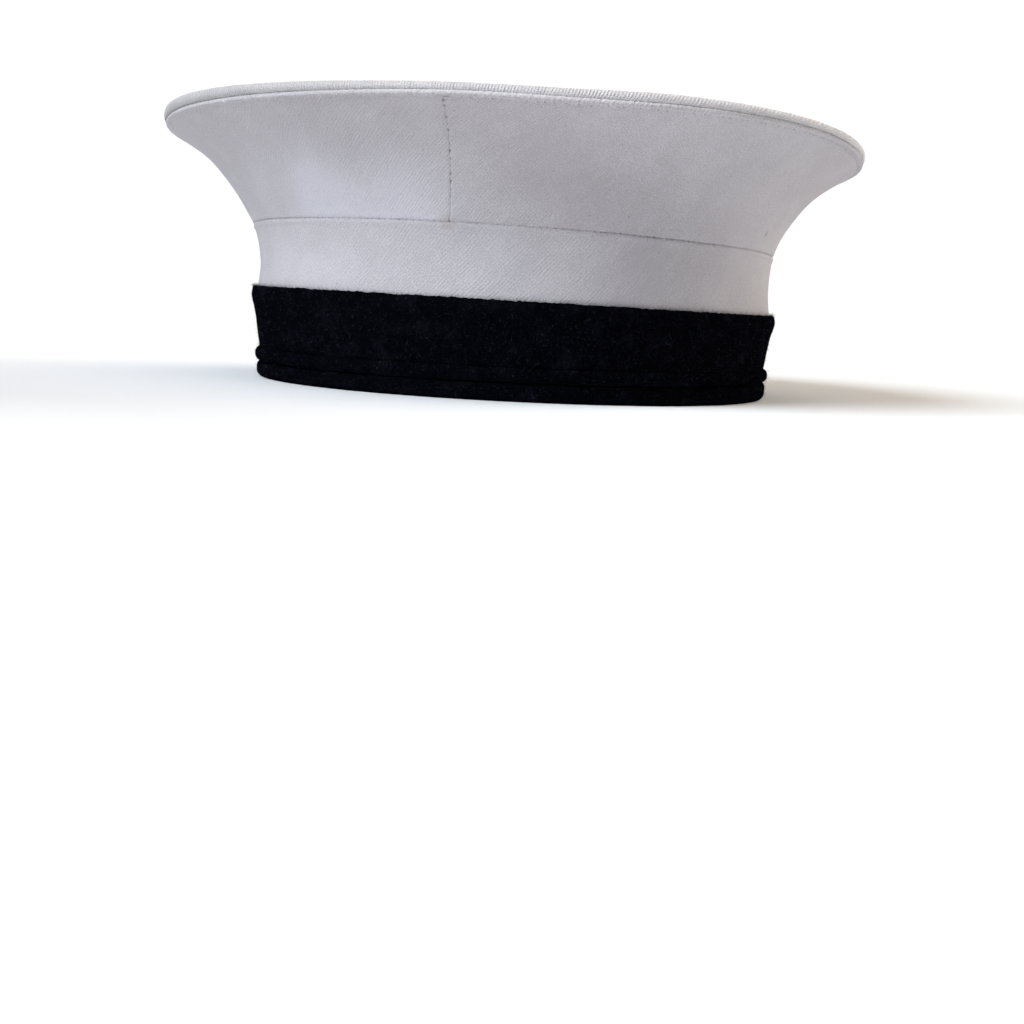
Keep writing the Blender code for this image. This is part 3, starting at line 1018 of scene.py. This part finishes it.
    def build(self, material: bpy.types.Material) -> bpy.types.Object:
        """Makes the half of the wall.

        Args:
            material: The twill.

        Returns:
            The piece.
        """
        shares, along = self.heights()
        angles, from_front = self.angles(shares, along)
        spreads = smooth_through(self.sections, shares, self.ease)
        foot, ridge = self.form.seam.stack(self.foot_lift), self.form.rim.stack(-self.ridge_height)
        rings = foot.towards(ridge, spreads[:, None], shares[:, None])
        rings = replace(rings, side_shift=rings.side_shift + self.sway * np.sin(pi * shares[:, None]))
        plain = rings.points(angles, self.dent(angles, shares[:, None]))
        fold, lifts = self.fold(angles[-1])
        outer = np.concatenate([plain, fold])
        detail, holes = self.relief(plain, angles, along, from_front)
        outer[: len(plain)] += outward(outer, ring=False)[: len(plain)] * detail[..., None]
        picks = np.linspace(len(plain) - 1, 0, self.back_rows).astype(int)
        points = with_back(outer, plain, self.form.wall_thickness, picks, ring=False)
        reach = (angles[0][None, :] - FRONT) * self.grain_radius
        distances = np.concatenate([along, along[-1] + lifts, along[picks]])
        # Painted highlight: the fold grows lighter towards its top, and the wall just under it a little, most
        # around one angle near the front.
        fold_highlight_wall = self.fold_highlight_wall * (1.0 - self.under_fold(along))
        painted_light = np.concatenate([fold_highlight_wall, np.linspace(self.fold_highlight_foot, 1.0, len(fold))])
        painted_light = painted_light[:, None] * bell(turn_between(angles[-1], self.fold_highlight_angle), self.fold_highlight_spread)
        holes_and_painted_light = pad_rows(pad_rows(holes, len(fold)) - painted_light, len(points) - len(outer))
        skin = Skin(points, cloth_grain(reach, distances), holes_and_painted_light, ring=False, front_rows=len(outer))
        return skin.piece(self.side.value + "_cloth", material)


@dataclass(frozen=True)
class CrownTop:
    """The crown's top: one disc of cloth whose edge is rolled over the crease at the rim."""

    form: CapForm
    seams: CrownSeams = CrownSeams()
    roll_height: float = 3.1 * MM
    roll_width: float = 3.2 * MM
    roll_proud: float = 0.9 * MM
    roll_side_gain: float = 0.35 * MM
    roll_ledge: float = 1.2 * MM
    roll_shy: float = 0.35 * MM
    roll_shy_spread: float = radians(50.0)
    roll_tuck: float = 0.2 * MM
    roll_sink: float = 0.28 * MM
    roll_reach: float = 2.3 * MM
    roll_belly: float = 0.4
    swells: tuple[Swell, ...] = (
        Swell(radians(-88.0), radians(26.0), -0.8 * MM),
        Swell(radians(-160.0), radians(42.0), 1.1 * MM, draw=-1.0 * MM),
        Swell(radians(-28.0), radians(22.0), -0.8 * MM),
    )
    slack: Waver = Waver(0.07 * MM, 9.0 * MM, 2.0)
    ripple: Waver = Waver(0.04 * MM, 3.5 * MM, 7.0)
    billow: Waver = Waver(0.5 * MM, 45.0 * MM, 1.0)
    crease_pull: Ridge = Ridge(-0.22 * MM, 0.3)
    # Painted shade and dirt: dark dashes at the crease's stitches along the roll's foot.
    painted_crease_shade: Ridge = Ridge(1.4, 0.16)
    # Painted shade on the rolled edge: darker towards the crease, most on one side, and on the top's edge
    # there.
    painted_shade_angle: float = radians(-140.0)
    painted_shade_spread: float = radians(50.0)
    painted_shade_front: float = 0.1
    painted_shade_fade: float = 0.6
    painted_shade_top: float = 0.4
    painted_shade_top_from: float = 0.87
    painted_shade_top_width: float = 0.11
    dip: float = 0.4 * MM
    sag: float = 2.2 * MM
    columns: int = 1500
    roll_rows: int = 18
    lining: tuple[float, ...] = (0.01, 0.93)
    lining_rows: int = 8
    radii: tuple[float, ...] = (
        0.972, 0.96, 0.94, 0.91, 0.87, 0.82, 0.76, 0.69, 0.61, 0.52, 0.43, 0.33, 0.22, 0.11, 0.01)
    grain_slip: float = 0.1 * MM
    sections: tuple[Section, ...] = (
        Section(height=0.00, spread=1.00),
        Section(height=0.30, spread=0.92),
        Section(height=0.60, spread=0.64),
        Section(height=0.84, spread=0.25),
        Section(height=0.96, spread=0.03),
    )

    def rise(self, angles: np.ndarray) -> np.ndarray:
        """The height of the rolled edge at each angle."""
        swells = sum(item.height * item.share(angles) for item in self.swells)
        return self.roll_height + self.roll_side_gain * np.cos(angles) + swells

    def disc(self, radii: np.ndarray, angles: np.ndarray, drop: float) -> np.ndarray:
        """Rows of the flat part.

        Args:
            radii: Each row's share of the rim's radius.
            angles: The angles of the columns.
            drop: How far under the upper face the rows lie.

        Returns:
            The points, rows by columns by 3.
        """
        rim = self.form.rim
        centre = Ring(0.0, 0.0, side_shift=rim.side_shift, height=rim.height)
        shares = radii[:, None]
        rings = centre.towards(rim, shares, shares)
        sag = self.sag * smooth_through(self.sections, radii)[:, None]
        level = self.form.clearance - self.dip - sag - drop
        return rings.points(angles, lift=level + mix(self.roll_height, self.rise(angles), shares))

    def build(self, material: bpy.types.Material) -> bpy.types.Object:
        """Makes the crown's top.

        Args:
            material: The twill.

        Returns:
            The piece.
        """
        angles = ring_angles(self.columns)
        rim, rise, clearance = self.form.rim, self.rise(angles), self.form.clearance
        lining_radii = np.linspace(*self.lining, self.lining_rows)
        lining = self.disc(lining_radii, angles, self.form.top_thickness)
        ledge_lift = np.maximum(0.0, rise - self.dip - self.form.top_thickness)
        ledge_inset = self.roll_width - self.roll_proud + self.roll_ledge
        ledge = rim.points(angles, ledge_inset, clearance + ledge_lift)
        turns = np.linspace(-0.5 * pi, 0.5 * pi, self.roll_rows)[:, None]
        under, around = turns < 0.0, (turns + 0.5 * pi) / pi
        proud = self.roll_proud - self.roll_shy * bell(turn_between(angles, FRONT), self.roll_shy_spread)
        reach = self.roll_reach + sum(item.draw * item.share(angles) for item in self.swells)
        inset = np.where(under, proud + self.roll_tuck, reach) * (1.0 - np.cos(turns)) - proud
        share = self.roll_belly + np.where(under, self.roll_belly, 1.0 - self.roll_belly) * np.sin(turns)
        roll = rim.points(angles, inset, clearance - self.roll_sink + (rise + self.roll_sink) * share)
        radii = np.array(self.radii)
        top = self.disc(radii, angles, 0.0)
        outer = np.concatenate([roll, top])
        crease = self.seams.crease.around(angles) * (1.0 - self.seams.pressed(angles))
        detail = self.slack.over(outer) + self.ripple.over(outer)
        detail[: self.roll_rows] += crease * self.crease_pull.over(around)
        detail[self.roll_rows:] += (1.0 - radii)[:, None] * self.billow.over(top)
        outer = outer + outward(outer, ring=True) * detail[..., None]
        points = np.concatenate([lining, ledge, outer])
        flat = rim.half_width * np.concatenate([lining_radii, np.ones(1 + self.roll_rows), radii])
        rolled = slice(self.lining_rows + 1, self.lining_rows + 1 + self.roll_rows)
        flat[rolled] += 0.5 * pi * self.roll_height * (1.0 - around[:, 0]) - self.grain_slip
        grain = flat[:, None, None] * np.stack([np.cos(angles[0]), np.sin(angles[0])], axis=-1)
        # Painted shade: the roll darkens towards the crease all round and much more around one side, and the
        # top's edge darkens there too; the crease's stitches add dark dashes of painted shade and dirt.
        painted_shade_side = bell(turn_between(angles, self.painted_shade_angle), self.painted_shade_spread)
        painted_shade = mix(self.painted_shade_front * (1.0 - share), 1.0 - self.painted_shade_fade * share, painted_shade_side)
        holes_and_painted_light = np.zeros(points.shape[:2])
        holes_and_painted_light[rolled] = crease * self.painted_crease_shade.over(around) - painted_shade
        fading = np.clip((radii[:, None] - self.painted_shade_top_from) / self.painted_shade_top_width, 0.0, 1.0)
        holes_and_painted_light[rolled.stop:] = -self.painted_shade_top * painted_shade_side * fading
        return Skin(points, grain, holes_and_painted_light, tube=False).piece("crown_top_cloth", material)


@dataclass(frozen=True)
class Stand:
    """The white stand, from inside the wool band up to the seam under the wall."""

    form: CapForm
    seams: CrownSeams = CrownSeams()
    waist: float = 1.2 * MM
    sway: float = 0.4 * MM
    slack: Waver = Waver(0.08 * MM, 12.0 * MM, 21.0)
    ripple: Waver = Waver(0.05 * MM, 4.5 * MM, 33.0)
    seam_swell: Ridge = Ridge(0.28 * MM, 0.8 * MM)
    seam_swell_drop: float = 1.0 * MM
    seam_groove: Ridge = Ridge(-0.28 * MM, 0.3 * MM)
    hole_depth: float = 0.35 * MM
    hole_share: float = 0.7
    columns: int = 1300
    band_top_flare: float = 0.95
    tuck: float = 1.2 * MM
    spacing: float = 0.8 * MM
    seam_zone: float = 2.2 * MM
    seam_zone_gap: float = 0.4 * MM
    seam_rows: int = 11
    seam_lift: float = 0.1 * MM
    back_rows: tuple[int, ...] = (-1, -14, -22)
    hidden_distances: tuple[float, ...] = (-0.02, -0.015)
    back_distances: tuple[float, ...] = (-0.001, -0.015, -0.02)

    def build(self, material: bpy.types.Material) -> bpy.types.Object:
        """Makes the stand.

        Args:
            material: The twill.

        Returns:
            The piece.
        """
        form = self.form
        angles = ring_angles(self.columns)
        hidden = np.linspace(form.welt_foot, form.band_foot, 2)[:, None]
        low = form.base_level(hidden).points(angles, form.stand_inset)
        top_inset = mix(form.band_foot_inset, -form.band_flare, self.band_top_flare)
        mouth_inset = top_inset + form.wool_thickness + form.clearance
        mouth = form.band.stack(0.0, -mouth_inset, -mouth_inset)
        rise = form.seam.height - mouth.height
        even = np.arange(-self.tuck, rise - self.seam_zone - self.seam_zone_gap, self.spacing)
        along = np.concatenate([
            even, np.linspace(rise - self.seam_zone, rise + self.seam_lift, self.seam_rows)])
        shares = (along / rise)[:, None]
        rings = mouth.towards(form.seam, shares, shares)
        bow = np.sin(pi * np.clip(shares, 0.0, 1.0))
        rings = replace(rings, side_shift=rings.side_shift + self.sway * bow)
        shown = rings.points(angles, self.waist * bow)
        plain = np.concatenate([low, shown])
        below = (along[-1] - along)[:, None]
        holes = self.seams.stand.around(angles, np.broadcast_to(below, (len(along), self.columns)))
        detail = self.slack.over(shown) + self.ripple.over(shown) - self.hole_depth * holes
        detail += self.seam_swell.over(below - self.seam_swell_drop) + self.seam_groove.over(below)
        outer = np.concatenate([low, shown + outward(shown, ring=True) * detail[..., None]])
        picks = [len(plain) + row for row in self.back_rows] + [2, 1, 0]
        points = with_back(outer, plain, form.stand_thickness, picks, ring=True)
        distances = np.concatenate([
            self.hidden_distances, along, along[list(self.back_rows)], self.back_distances])
        grain = cloth_grain((angles - BACK) * SEAM_RADIUS, distances)
        holes_and_painted_light = np.concatenate([np.zeros((len(low), self.columns)), self.hole_share * holes])
        holes_and_painted_light = pad_rows(holes_and_painted_light, len(points) - len(holes_and_painted_light))
        return Skin(points, grain, holes_and_painted_light, tau * SEAM_RADIUS).piece("stand_cloth", material)


@dataclass(frozen=True)
class WoolBand:
    """The wool band, which leans out to a soft turned top edge."""

    form: CapForm
    columns: int = 1000
    edge_width: float = 0.8 * MM
    edge_height: float = 1.5 * MM
    edge_rows: int = 10
    face_rows: int = 34
    first_row: float = 0.02
    foot_tuck: Ridge = Ridge(0.5 * MM, 0.01)
    nap: tuple[Waver, ...] = (
        Waver(0.26 * MM, 1.25 * MM, 5.0), Waver(0.13 * MM, 0.7 * MM, 11.0), Waver(0.13 * MM, 7.0 * MM, 17.0))
    back_rows: tuple[int, ...] = (20, 8, 0)
    sections: tuple[Section, ...] = (
        Section(height=0.00, spread=0.00),
        Section(height=0.30, spread=0.30),
        Section(height=0.62, spread=0.62),
        Section(height=0.86, spread=1.00),
        Section(height=0.94, spread=0.97),
        Section(height=1.00, spread=0.84),
    )

    def face(self, shares: np.ndarray, angles: np.ndarray) -> np.ndarray:
        """Points of the outer face at shares of its height."""
        form = self.form
        heights = form.band_foot + form.band_height * shares - self.foot_tuck.over(shares)
        rings = form.base_level(heights)
        flare = smooth_through(self.sections, shares)
        return rings.points(angles, mix(form.band_foot_inset, -form.band_flare, flare))

    def build(self, material: bpy.types.Material) -> bpy.types.Object:
        """Makes the band.

        Args:
            material: The wool.

        Returns:
            The piece.
        """
        angles = ring_angles(self.columns)
        top = 1.0 - self.edge_height / self.form.band_height
        shares = np.concatenate([[0.0], np.linspace(self.first_row, top, self.face_rows)])
        face = self.face(shares[:, None], angles)
        flat = outward(face, ring=True)[-1:] * np.array([1.0, 1.0, 0.0])
        turns = np.linspace(0.0, pi, self.edge_rows + 1)[1:, None, None]
        edge = self.face(np.array([[top]]), angles) - flat * self.edge_width * (1.0 - np.cos(turns))
        edge = edge + np.array([0.0, 0.0, 1.0]) * self.edge_height * np.sin(turns)
        plain = np.concatenate([face, edge])
        bumps = sum(waver.over(plain) for waver in self.nap)
        front = plain + outward(plain, ring=True) * bumps[..., None]
        points = with_back(front, plain, self.form.wool_thickness, self.back_rows, ring=True)
        return wool_skin(points, angles, self.form.band_height).piece("wool_band_cloth", material)


@dataclass(frozen=True)
class Welt:
    """The round ridge between the wool band and the hem."""

    form: CapForm
    columns: int = 1100
    proud: float = 1.2 * MM
    face_rows: int = 15
    cloth_length: float = 8.0 * MM
    nap: tuple[Waver, ...] = (Waver(0.12 * MM, 1.6 * MM, 25.0), Waver(0.06 * MM, 0.8 * MM, 31.0))

    def face(self, turns: np.ndarray, angles: np.ndarray) -> np.ndarray:
        """Points of the bowed outer face, at turns from its foot to its top."""
        form = self.form
        rings = form.base_level(form.welt_foot + form.welt_height * (0.5 + 0.5 * np.sin(turns)))
        return rings.points(angles, mix(form.band_foot_inset, -self.proud, np.cos(turns)))

    def build(self, material: bpy.types.Material) -> bpy.types.Object:
        """Makes the welt.

        Args:
            material: The wool.

        Returns:
            The piece.
        """
        angles = ring_angles(self.columns)
        front = self.face(np.linspace(-0.5 * pi, 0.5 * pi, self.face_rows)[:, None], angles)
        bumps = sum(waver.over(front) for waver in self.nap)
        front = front + outward(front, ring=True) * bumps[..., None]
        form = self.form
        heights = np.array([form.welt_foot + form.welt_height, form.welt_foot])[:, None]
        back = form.base_level(heights).points(angles, form.band_foot_inset + form.wool_thickness)
        points = np.concatenate([front, back])
        return wool_skin(points, angles, self.cloth_length).piece("welt_cloth", material)


@dataclass(frozen=True)
class HemCorner:
    """A corner of the hem's section: its place from the outer foot, in shares, and its two radii."""

    across: float
    up: float
    radius_across: float
    radius_up: float
    start: float


@dataclass(frozen=True)
class Hem:
    """The turned edge at the bottom: a soft ring with a round outer foot, flat where it rests."""

    form: CapForm
    columns: int = 1000
    proud: float = 0.5 * MM
    corner_rows: int = 7
    cloth_length: float = 18.0 * MM
    nap: tuple[Waver, ...] = (Waver(0.10 * MM, 1.6 * MM, 41.0), Waver(0.05 * MM, 0.8 * MM, 47.0))
    corners: tuple[HemCorner, ...] = (
        HemCorner(1.0, 0.0, 1.0 * MM, 1.0 * MM, radians(180.0)),
        HemCorner(0.0, 0.0, 2.0 * MM, 2.5 * MM, radians(270.0)),
        HemCorner(0.0, 1.0, 1.5 * MM, 1.7 * MM, radians(0.0)),
        HemCorner(1.0, 1.0, 1.0 * MM, 1.0 * MM, radians(90.0)),
    )

    def section(self) -> np.ndarray:
        """The hem's outline as insets from its outer face and heights, counter-clockwise from inside."""
        width = self.proud + self.form.stand_inset + self.form.stand_thickness
        outline = []
        for corner in self.corners:
            centre_in = abs(corner.across * width - corner.radius_across)
            centre_up = abs(corner.up * self.form.hem_height - corner.radius_up)
            for turn in np.linspace(corner.start, corner.start + 0.5 * pi, self.corner_rows):
                out = corner.radius_across * cos(turn)
                outline.append((centre_in - out, centre_up + corner.radius_up * sin(turn)))
        return np.array(outline)

    def build(self, material: bpy.types.Material) -> bpy.types.Object:
        """Makes the hem.

        Args:
            material: The wool.

        Returns:
            The piece.
        """
        angles = ring_angles(self.columns)
        outline = self.section()
        insets, heights = outline[:, :1] - self.proud, outline[:, 1:]
        plain = self.form.base_level(heights).points(angles, insets)
        bumps = sum(waver.over(plain) for waver in self.nap)
        across = np.roll(plain, -1, axis=1) - np.roll(plain, 1, axis=1)
        up = np.roll(plain, -1, axis=0) - np.roll(plain, 1, axis=0)
        normals = np.cross(across, up)
        normals /= np.linalg.norm(normals, axis=-1, keepdims=True)
        points = plain + normals * bumps[..., None]
        points[..., 2] = np.maximum(points[..., 2], 0.0)
        return wool_skin(points, angles, self.cloth_length).piece("hem_cloth", material)


@dataclass(frozen=True)
class WoolFuzz:
    """The loose fibres that stand out of the milled wool, each a thin curling thread."""

    form: CapForm
    count: int = 5000
    edge_count: int = 2600
    thickness: float = 0.052 * MM
    shortest: float = 0.7 * MM
    longest: float = 2.3 * MM
    taper: tuple[float, ...] = (1.0, 1.0, 0.85, 0.6, 0.25)
    sunk: float = 0.15 * MM
    floor_gap: float = 0.1 * MM
    band_part: float = 0.64
    band_and_welt_part: float = 0.84
    hem_proud: float = 0.45 * MM
    edge_share: float = 0.955
    edge_lift: float = 0.7 * MM
    edge_lean: float = 0.35
    band_shares: tuple[float, float] = (0.02, 0.95)
    welt_turn: float = 0.4 * pi
    hem_shares: tuple[float, float] = (0.25, 0.85)
    edge_depths: tuple[float, float] = (0.1 * MM, 1.3 * MM)
    outward_pull: float = 0.45
    stray_pull: float = 0.8
    least_outward: float = 0.1
    curls: tuple[float, float] = (0.2, 0.8)
    straighten: float = 0.12
    seed: int = 19

    def roots(self, rng: np.random.Generator) -> tuple[np.ndarray, np.ndarray]:
        """Where the fibres stand on the wool.

        Args:
            rng: The source of chance.

        Returns:
            The roots, and the outward directions there.
        """
        band, welt = WoolBand(self.form), Welt(self.form)
        angles = rng.uniform(0.0, tau, self.count)
        shares = rng.uniform(*self.band_shares, self.count)
        on_band = band.face(shares, angles)
        welt_turns = rng.uniform(-self.welt_turn, self.welt_turn, self.count)
        on_welt = welt.face(welt_turns, angles)
        hem_heights = rng.uniform(*self.hem_shares, self.count) * self.form.hem_height
        on_hem = self.form.base_level(hem_heights).points(angles, -self.hem_proud)
        pick = rng.uniform(0.0, 1.0, self.count)[:, None]
        on_foot = np.where(pick < self.band_and_welt_part, on_welt, on_hem)
        roots = np.where(pick < self.band_part, on_band, on_foot)
        edge_angles = rng.uniform(0.0, tau, self.edge_count)
        edge = band.face(np.full(self.edge_count, self.edge_share), edge_angles)
        inwards = np.stack([np.cos(edge_angles), np.sin(edge_angles), np.zeros(self.edge_count)], axis=-1)
        edge = edge - inwards * rng.uniform(*self.edge_depths, self.edge_count)[:, None]
        edge[:, 2] += self.edge_lift
        roots = np.concatenate([roots, edge])
        out = roots * np.array([1.0, 1.0, 0.0])
        out /= np.linalg.norm(out, axis=-1, keepdims=True)
        out[self.count:] = self.edge_lean * out[self.count:] + np.array([0.0, 0.0, 1.0])
        return roots, out

    def build(self, material: bpy.types.Material) -> bpy.types.Object:
        """Makes all the fibres as one mesh.

        Args:
            material: The fibres' finish.

        Returns:
            The piece.
        """
        rng = np.random.default_rng(self.seed)
        roots, out = self.roots(rng)
        total = len(roots)
        lengths = rng.uniform(self.shortest, self.longest, total)[:, None]
        heading = self.outward_pull * out + self.stray_pull * self.unit(rng.normal(size=(total, 3)))
        outwards = np.sum(heading * out, axis=-1, keepdims=True)
        heading -= out * np.minimum(outwards - self.least_outward, 0.0)
        heading = self.unit(heading)
        curl = self.unit(rng.normal(size=(total, 3))) * rng.uniform(*self.curls, (total, 1))
        joints = len(self.taper)
        spine = [roots - out * self.sunk]
        for _ in range(joints - 1):
            spine.append(spine[-1] + heading * lengths / (joints - 1))
            heading = self.unit(heading + curl + self.straighten * out)
        path = np.stack(spine, axis=1)
        path[..., 2] = np.maximum(path[..., 2], self.floor_gap)
        side = self.unit(np.cross(path[:, 1] - path[:, 0], rng.normal(size=(total, 3))))
        other = self.unit(np.cross(path[:, 1] - path[:, 0], side))
        taper = np.array(self.taper)[None, :, None, None] * self.thickness * 0.5
        corners = np.stack([
            side * cos(turn) + other * sin(turn) for turn in (0.0, tau / 3.0, 2.0 * tau / 3.0)], axis=1)
        points = (path[:, :, None, :] + corners[:, None, :, :] * taper).reshape(-1, 3)
        starts = np.arange(total)[:, None] * (3 * joints)
        faces: list[list[int]] = []
        for joint in range(joints - 1):
            for corner in range(3):
                here, there = joint * 3 + corner, joint * 3 + (corner + 1) % 3
                faces += (starts + np.array([here, there, there + 3, here + 3])).tolist()
        faces += (starts + np.array([2, 1, 0])).tolist()
        faces += (starts + 3 * (joints - 1) + np.array([0, 1, 2])).tolist()
        mesh = bpy.data.meshes.new("wool_fuzz")
        mesh.from_pydata(points.tolist(), [], faces)
        mesh.materials.append(material)
        mesh.shade_smooth()
        piece = bpy.data.objects.new("wool_fuzz", mesh)
        bpy.context.scene.collection.objects.link(piece)
        return piece

    @staticmethod
    def unit(vectors: np.ndarray) -> np.ndarray:
        """The vectors at a length of 1."""
        return vectors / np.maximum(np.linalg.norm(vectors, axis=-1, keepdims=True), 1e-9)


@dataclass(frozen=True)
class SoftLight:
    """A large soft light: the side it comes from, its height, its strength, its width and its colour."""

    name: str
    azimuth: float
    elevation: float
    strength: float
    width: float
    colour: Colour = (1.0, 1.0, 1.0)

    def build(self) -> None:
        """Adds the light, aimed at the origin."""
        data = bpy.data.lights.new(self.name, "SUN")
        data.energy = self.strength
        data.angle = self.width
        data.color = self.colour
        lamp = bpy.data.objects.new(self.name, data)
        level = cos(self.elevation)
        back = Vector((sin(self.azimuth) * level, -cos(self.azimuth) * level, sin(self.elevation)))
        lamp.location = back
        lamp.rotation_mode = "QUATERNION"
        lamp.rotation_quaternion = back.to_track_quat("Z", "Y")
        bpy.context.scene.collection.objects.link(lamp)


@dataclass(frozen=True)
class Studio:
    """A pale floor and backdrop, soft lights, and the camera of the photograph."""

    floor_colour: Colour = (0.90, 0.93, 0.98)
    floor_radius: float = 7.0
    floor_drop: float = 0.05 * MM
    backdrop_radius: float = 7.5
    fill: float = 0.03
    fill_colour: Colour = (1.0, 1.0, 1.0)
    lights: tuple[SoftLight, ...] = (
        SoftLight("key", radians(-37.0), radians(40.0), 3.20, radians(36.0), (0.885, 0.955, 1.0)),
        SoftLight("overhead", radians(0.0), radians(86.0), 1.06, radians(80.0), (1.0, 0.83, 0.66)),
        SoftLight("rim", radians(140.0), radians(18.0), 2.48, radians(40.0), (1.0, 0.92, 0.78)),
    )
    azimuth: float = 0.18751
    distance: float = 0.784
    eye_height: float = 0.04255
    focal_pixels: float = 2194.45
    picture: float = 1024.0
    sensor: float = 36.0
    pan: float = 0.00335
    pitch: float = 0.1118
    roll: float = 0.0510

    def build(self) -> None:
        """Adds the floor, the backdrop, the lights and the camera."""
        self.ground()
        world = bpy.data.worlds.new("room")
        world.use_nodes = True
        background = world.node_tree.nodes["Background"]
        background.inputs["Color"].default_value = (*self.fill_colour, 1.0)
        background.inputs["Strength"].default_value = self.fill
        bpy.context.scene.world = world
        bpy.context.scene.view_settings.view_transform = "Standard"
        for light in self.lights:
            light.build()
        self.camera()

    def ground(self) -> None:
        """Adds a wide pale floor and a bright backdrop all round that only the camera sees."""
        paper = Graph("floor_paper").dress((*self.floor_colour, 1.0), Roughness=0.9)
        bpy.ops.mesh.primitive_circle_add(vertices=96, radius=self.floor_radius, fill_type="NGON")
        plane = bpy.context.object
        plane.name = "floor"
        plane.location.z = -self.floor_drop
        plane.data.materials.append(paper)
        bright = Graph("backdrop_paper").dress(
            (0.0, 0.0, 0.0, 1.0), Emission_Color=(1.0, 1.0, 1.0, 1.0), Emission_Strength=1.0)
        bpy.ops.mesh.primitive_uv_sphere_add(segments=48, ring_count=24, radius=self.backdrop_radius)
        dome = bpy.context.object
        dome.name = "backdrop"
        dome.data.materials.append(bright)
        for ray in ("diffuse", "glossy", "transmission", "shadow"):
            setattr(dome, "visible_" + ray, False)

    def camera(self) -> None:
        """Adds the camera, at the photograph's angle to the cap."""
        data = bpy.data.cameras.new("camera")
        data.sensor_width = self.sensor
        data.lens = self.focal_pixels * self.sensor / self.picture
        data.clip_start, data.clip_end = 0.01, 40.0
        camera = bpy.data.objects.new("camera", data)
        across = Vector((cos(self.azimuth), sin(self.azimuth), 0.0))
        ahead = Vector((-sin(self.azimuth), cos(self.azimuth), 0.0))
        up = Vector((0.0, 0.0, 1.0))
        forward = ahead * cos(self.pan) + across * sin(self.pan)
        right = across * cos(self.pan) - ahead * sin(self.pan)
        sight = forward * cos(self.pitch) - up * sin(self.pitch)
        top = up * cos(self.pitch) + forward * sin(self.pitch)
        right_rolled = right * cos(self.roll) + top * sin(self.roll)
        top_rolled = top * cos(self.roll) - right * sin(self.roll)
        axes = Matrix((right_rolled, top_rolled, -sight)).transposed().to_4x4()
        axes.translation = (
            sin(self.azimuth) * self.distance, -cos(self.azimuth) * self.distance, self.eye_height)
        camera.matrix_world = axes
        bpy.context.scene.collection.objects.link(camera)
        bpy.context.scene.camera = camera


@dataclass
class SailorCap:
    """The whole cap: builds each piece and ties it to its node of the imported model."""

    form: CapForm = field(default_factory=CapForm)
    wall_twill: TwillFinish = TwillFinish(
        "wall_twill",
        stains_and_painted_light=(
            StainAndPaintedLight((0.0891, -0.0239, 0.0573), 1.6 * MM, (0.17, 0.15, 0.16), 0.6),
            StainAndPaintedLight((0.1043, 0.0161, 0.0730), 1.1 * MM, (0.28, 0.18, 0.15), 0.7),
            StainAndPaintedLight((-0.0041, -0.0973, 0.0555), 3.2 * MM, (0.36, 0.31, 0.29), 0.5),
            StainAndPaintedLight((-0.0776, -0.0997, 0.0890), 0.8 * MM, (0.90, 0.89, 0.90), 0.9),
            # Painted shade: two broad dark patches on the wall, on the wearer's left of the front seam.
            StainAndPaintedLight((0.0300, -0.1000, 0.0720), 26.0 * MM, (0.42, 0.39, 0.42), 0.40),
            StainAndPaintedLight((0.0500, -0.0840, 0.0600), 22.0 * MM, (0.42, 0.40, 0.43), 0.30),
            # Painted highlight: two broad bluish-pale patches on the wall's lower front, on the wearer's
            # right of the front seam.
            StainAndPaintedLight((-0.0200, -0.0973, 0.0590), 24.0 * MM, (0.74, 0.74, 0.83), 0.36),
            StainAndPaintedLight((-0.0480, -0.0880, 0.0610), 24.0 * MM, (0.74, 0.74, 0.83), 0.40),
        ),
    )
    stand_twill: TwillFinish = TwillFinish(
        "stand_twill",
        rib_slant=radians(42.0),
        stains_and_painted_light=(
            StainAndPaintedLight((-0.0041, -0.0975, 0.0545), 4.0 * MM, (0.42, 0.37, 0.35), 0.45),
            # Painted shade: a broad dark patch on the stand's front, on the wearer's left.
            StainAndPaintedLight((0.0560, -0.0750, 0.0420), 24.0 * MM, (0.42, 0.40, 0.43), 0.30),
        ),
    )
    # A lighter copy of the twill: painted light on the crown's upward-facing top and roll, with darker
    # colours for the painted shade on the roll.
    top_twill_painted_light: TwillFinish = TwillFinish(
        "top_twill_painted_light", colour=(0.95, 0.93, 0.965), shade=(0.67, 0.65, 0.69), rib_slant=radians(84.0),
        rib_height=0.30 * MM, rib_shade=0.62, rib_waver=2.2, grain_shade=0.38,
        painted_light_colour=(0.54, 0.525, 0.54), painted_light_low_colour=(0.35, 0.34, 0.35))
    wool: WoolFinish = WoolFinish("navy_wool")
    fibre: FibreFinish = FibreFinish("wool_fibre")

    def tie(self, piece: bpy.types.Object, node: str | None) -> None:
        """Makes a piece ride on the cap and stand for its node.

        Args:
            piece: The finished piece.
            node: The node that it replaces, if any.
        """
        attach(piece, "root")
        if node:
            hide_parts(node)
        log.info("%s: %d faces", piece.name, len(piece.data.polygons))

    def build(self) -> None:
        """Builds every piece."""
        wall = self.wall_twill.material()
        wool = self.wool.material()
        for side in Side:
            self.tie(FlaredWall(self.form, side).build(wall), side.value)
        self.tie(CrownTop(self.form).build(self.top_twill_painted_light.material()), "crown_top")
        self.tie(Stand(self.form).build(self.stand_twill.material()), "stand")
        self.tie(WoolBand(self.form).build(wool), "wool_band")
        self.tie(Welt(self.form).build(wool), "welt")
        self.tie(Hem(self.form).build(wool), "hem")
        self.tie(WoolFuzz(self.form).build(self.fibre.material()), None)


def main() -> None:
    """Builds the cap and the studio around it."""
    logging.basicConfig(level=logging.INFO, format="%(name)s: %(message)s")
    SailorCap().build()
    Studio().build()
    bpy.context.view_layer.update()


if __name__ == "__main__":
    main()
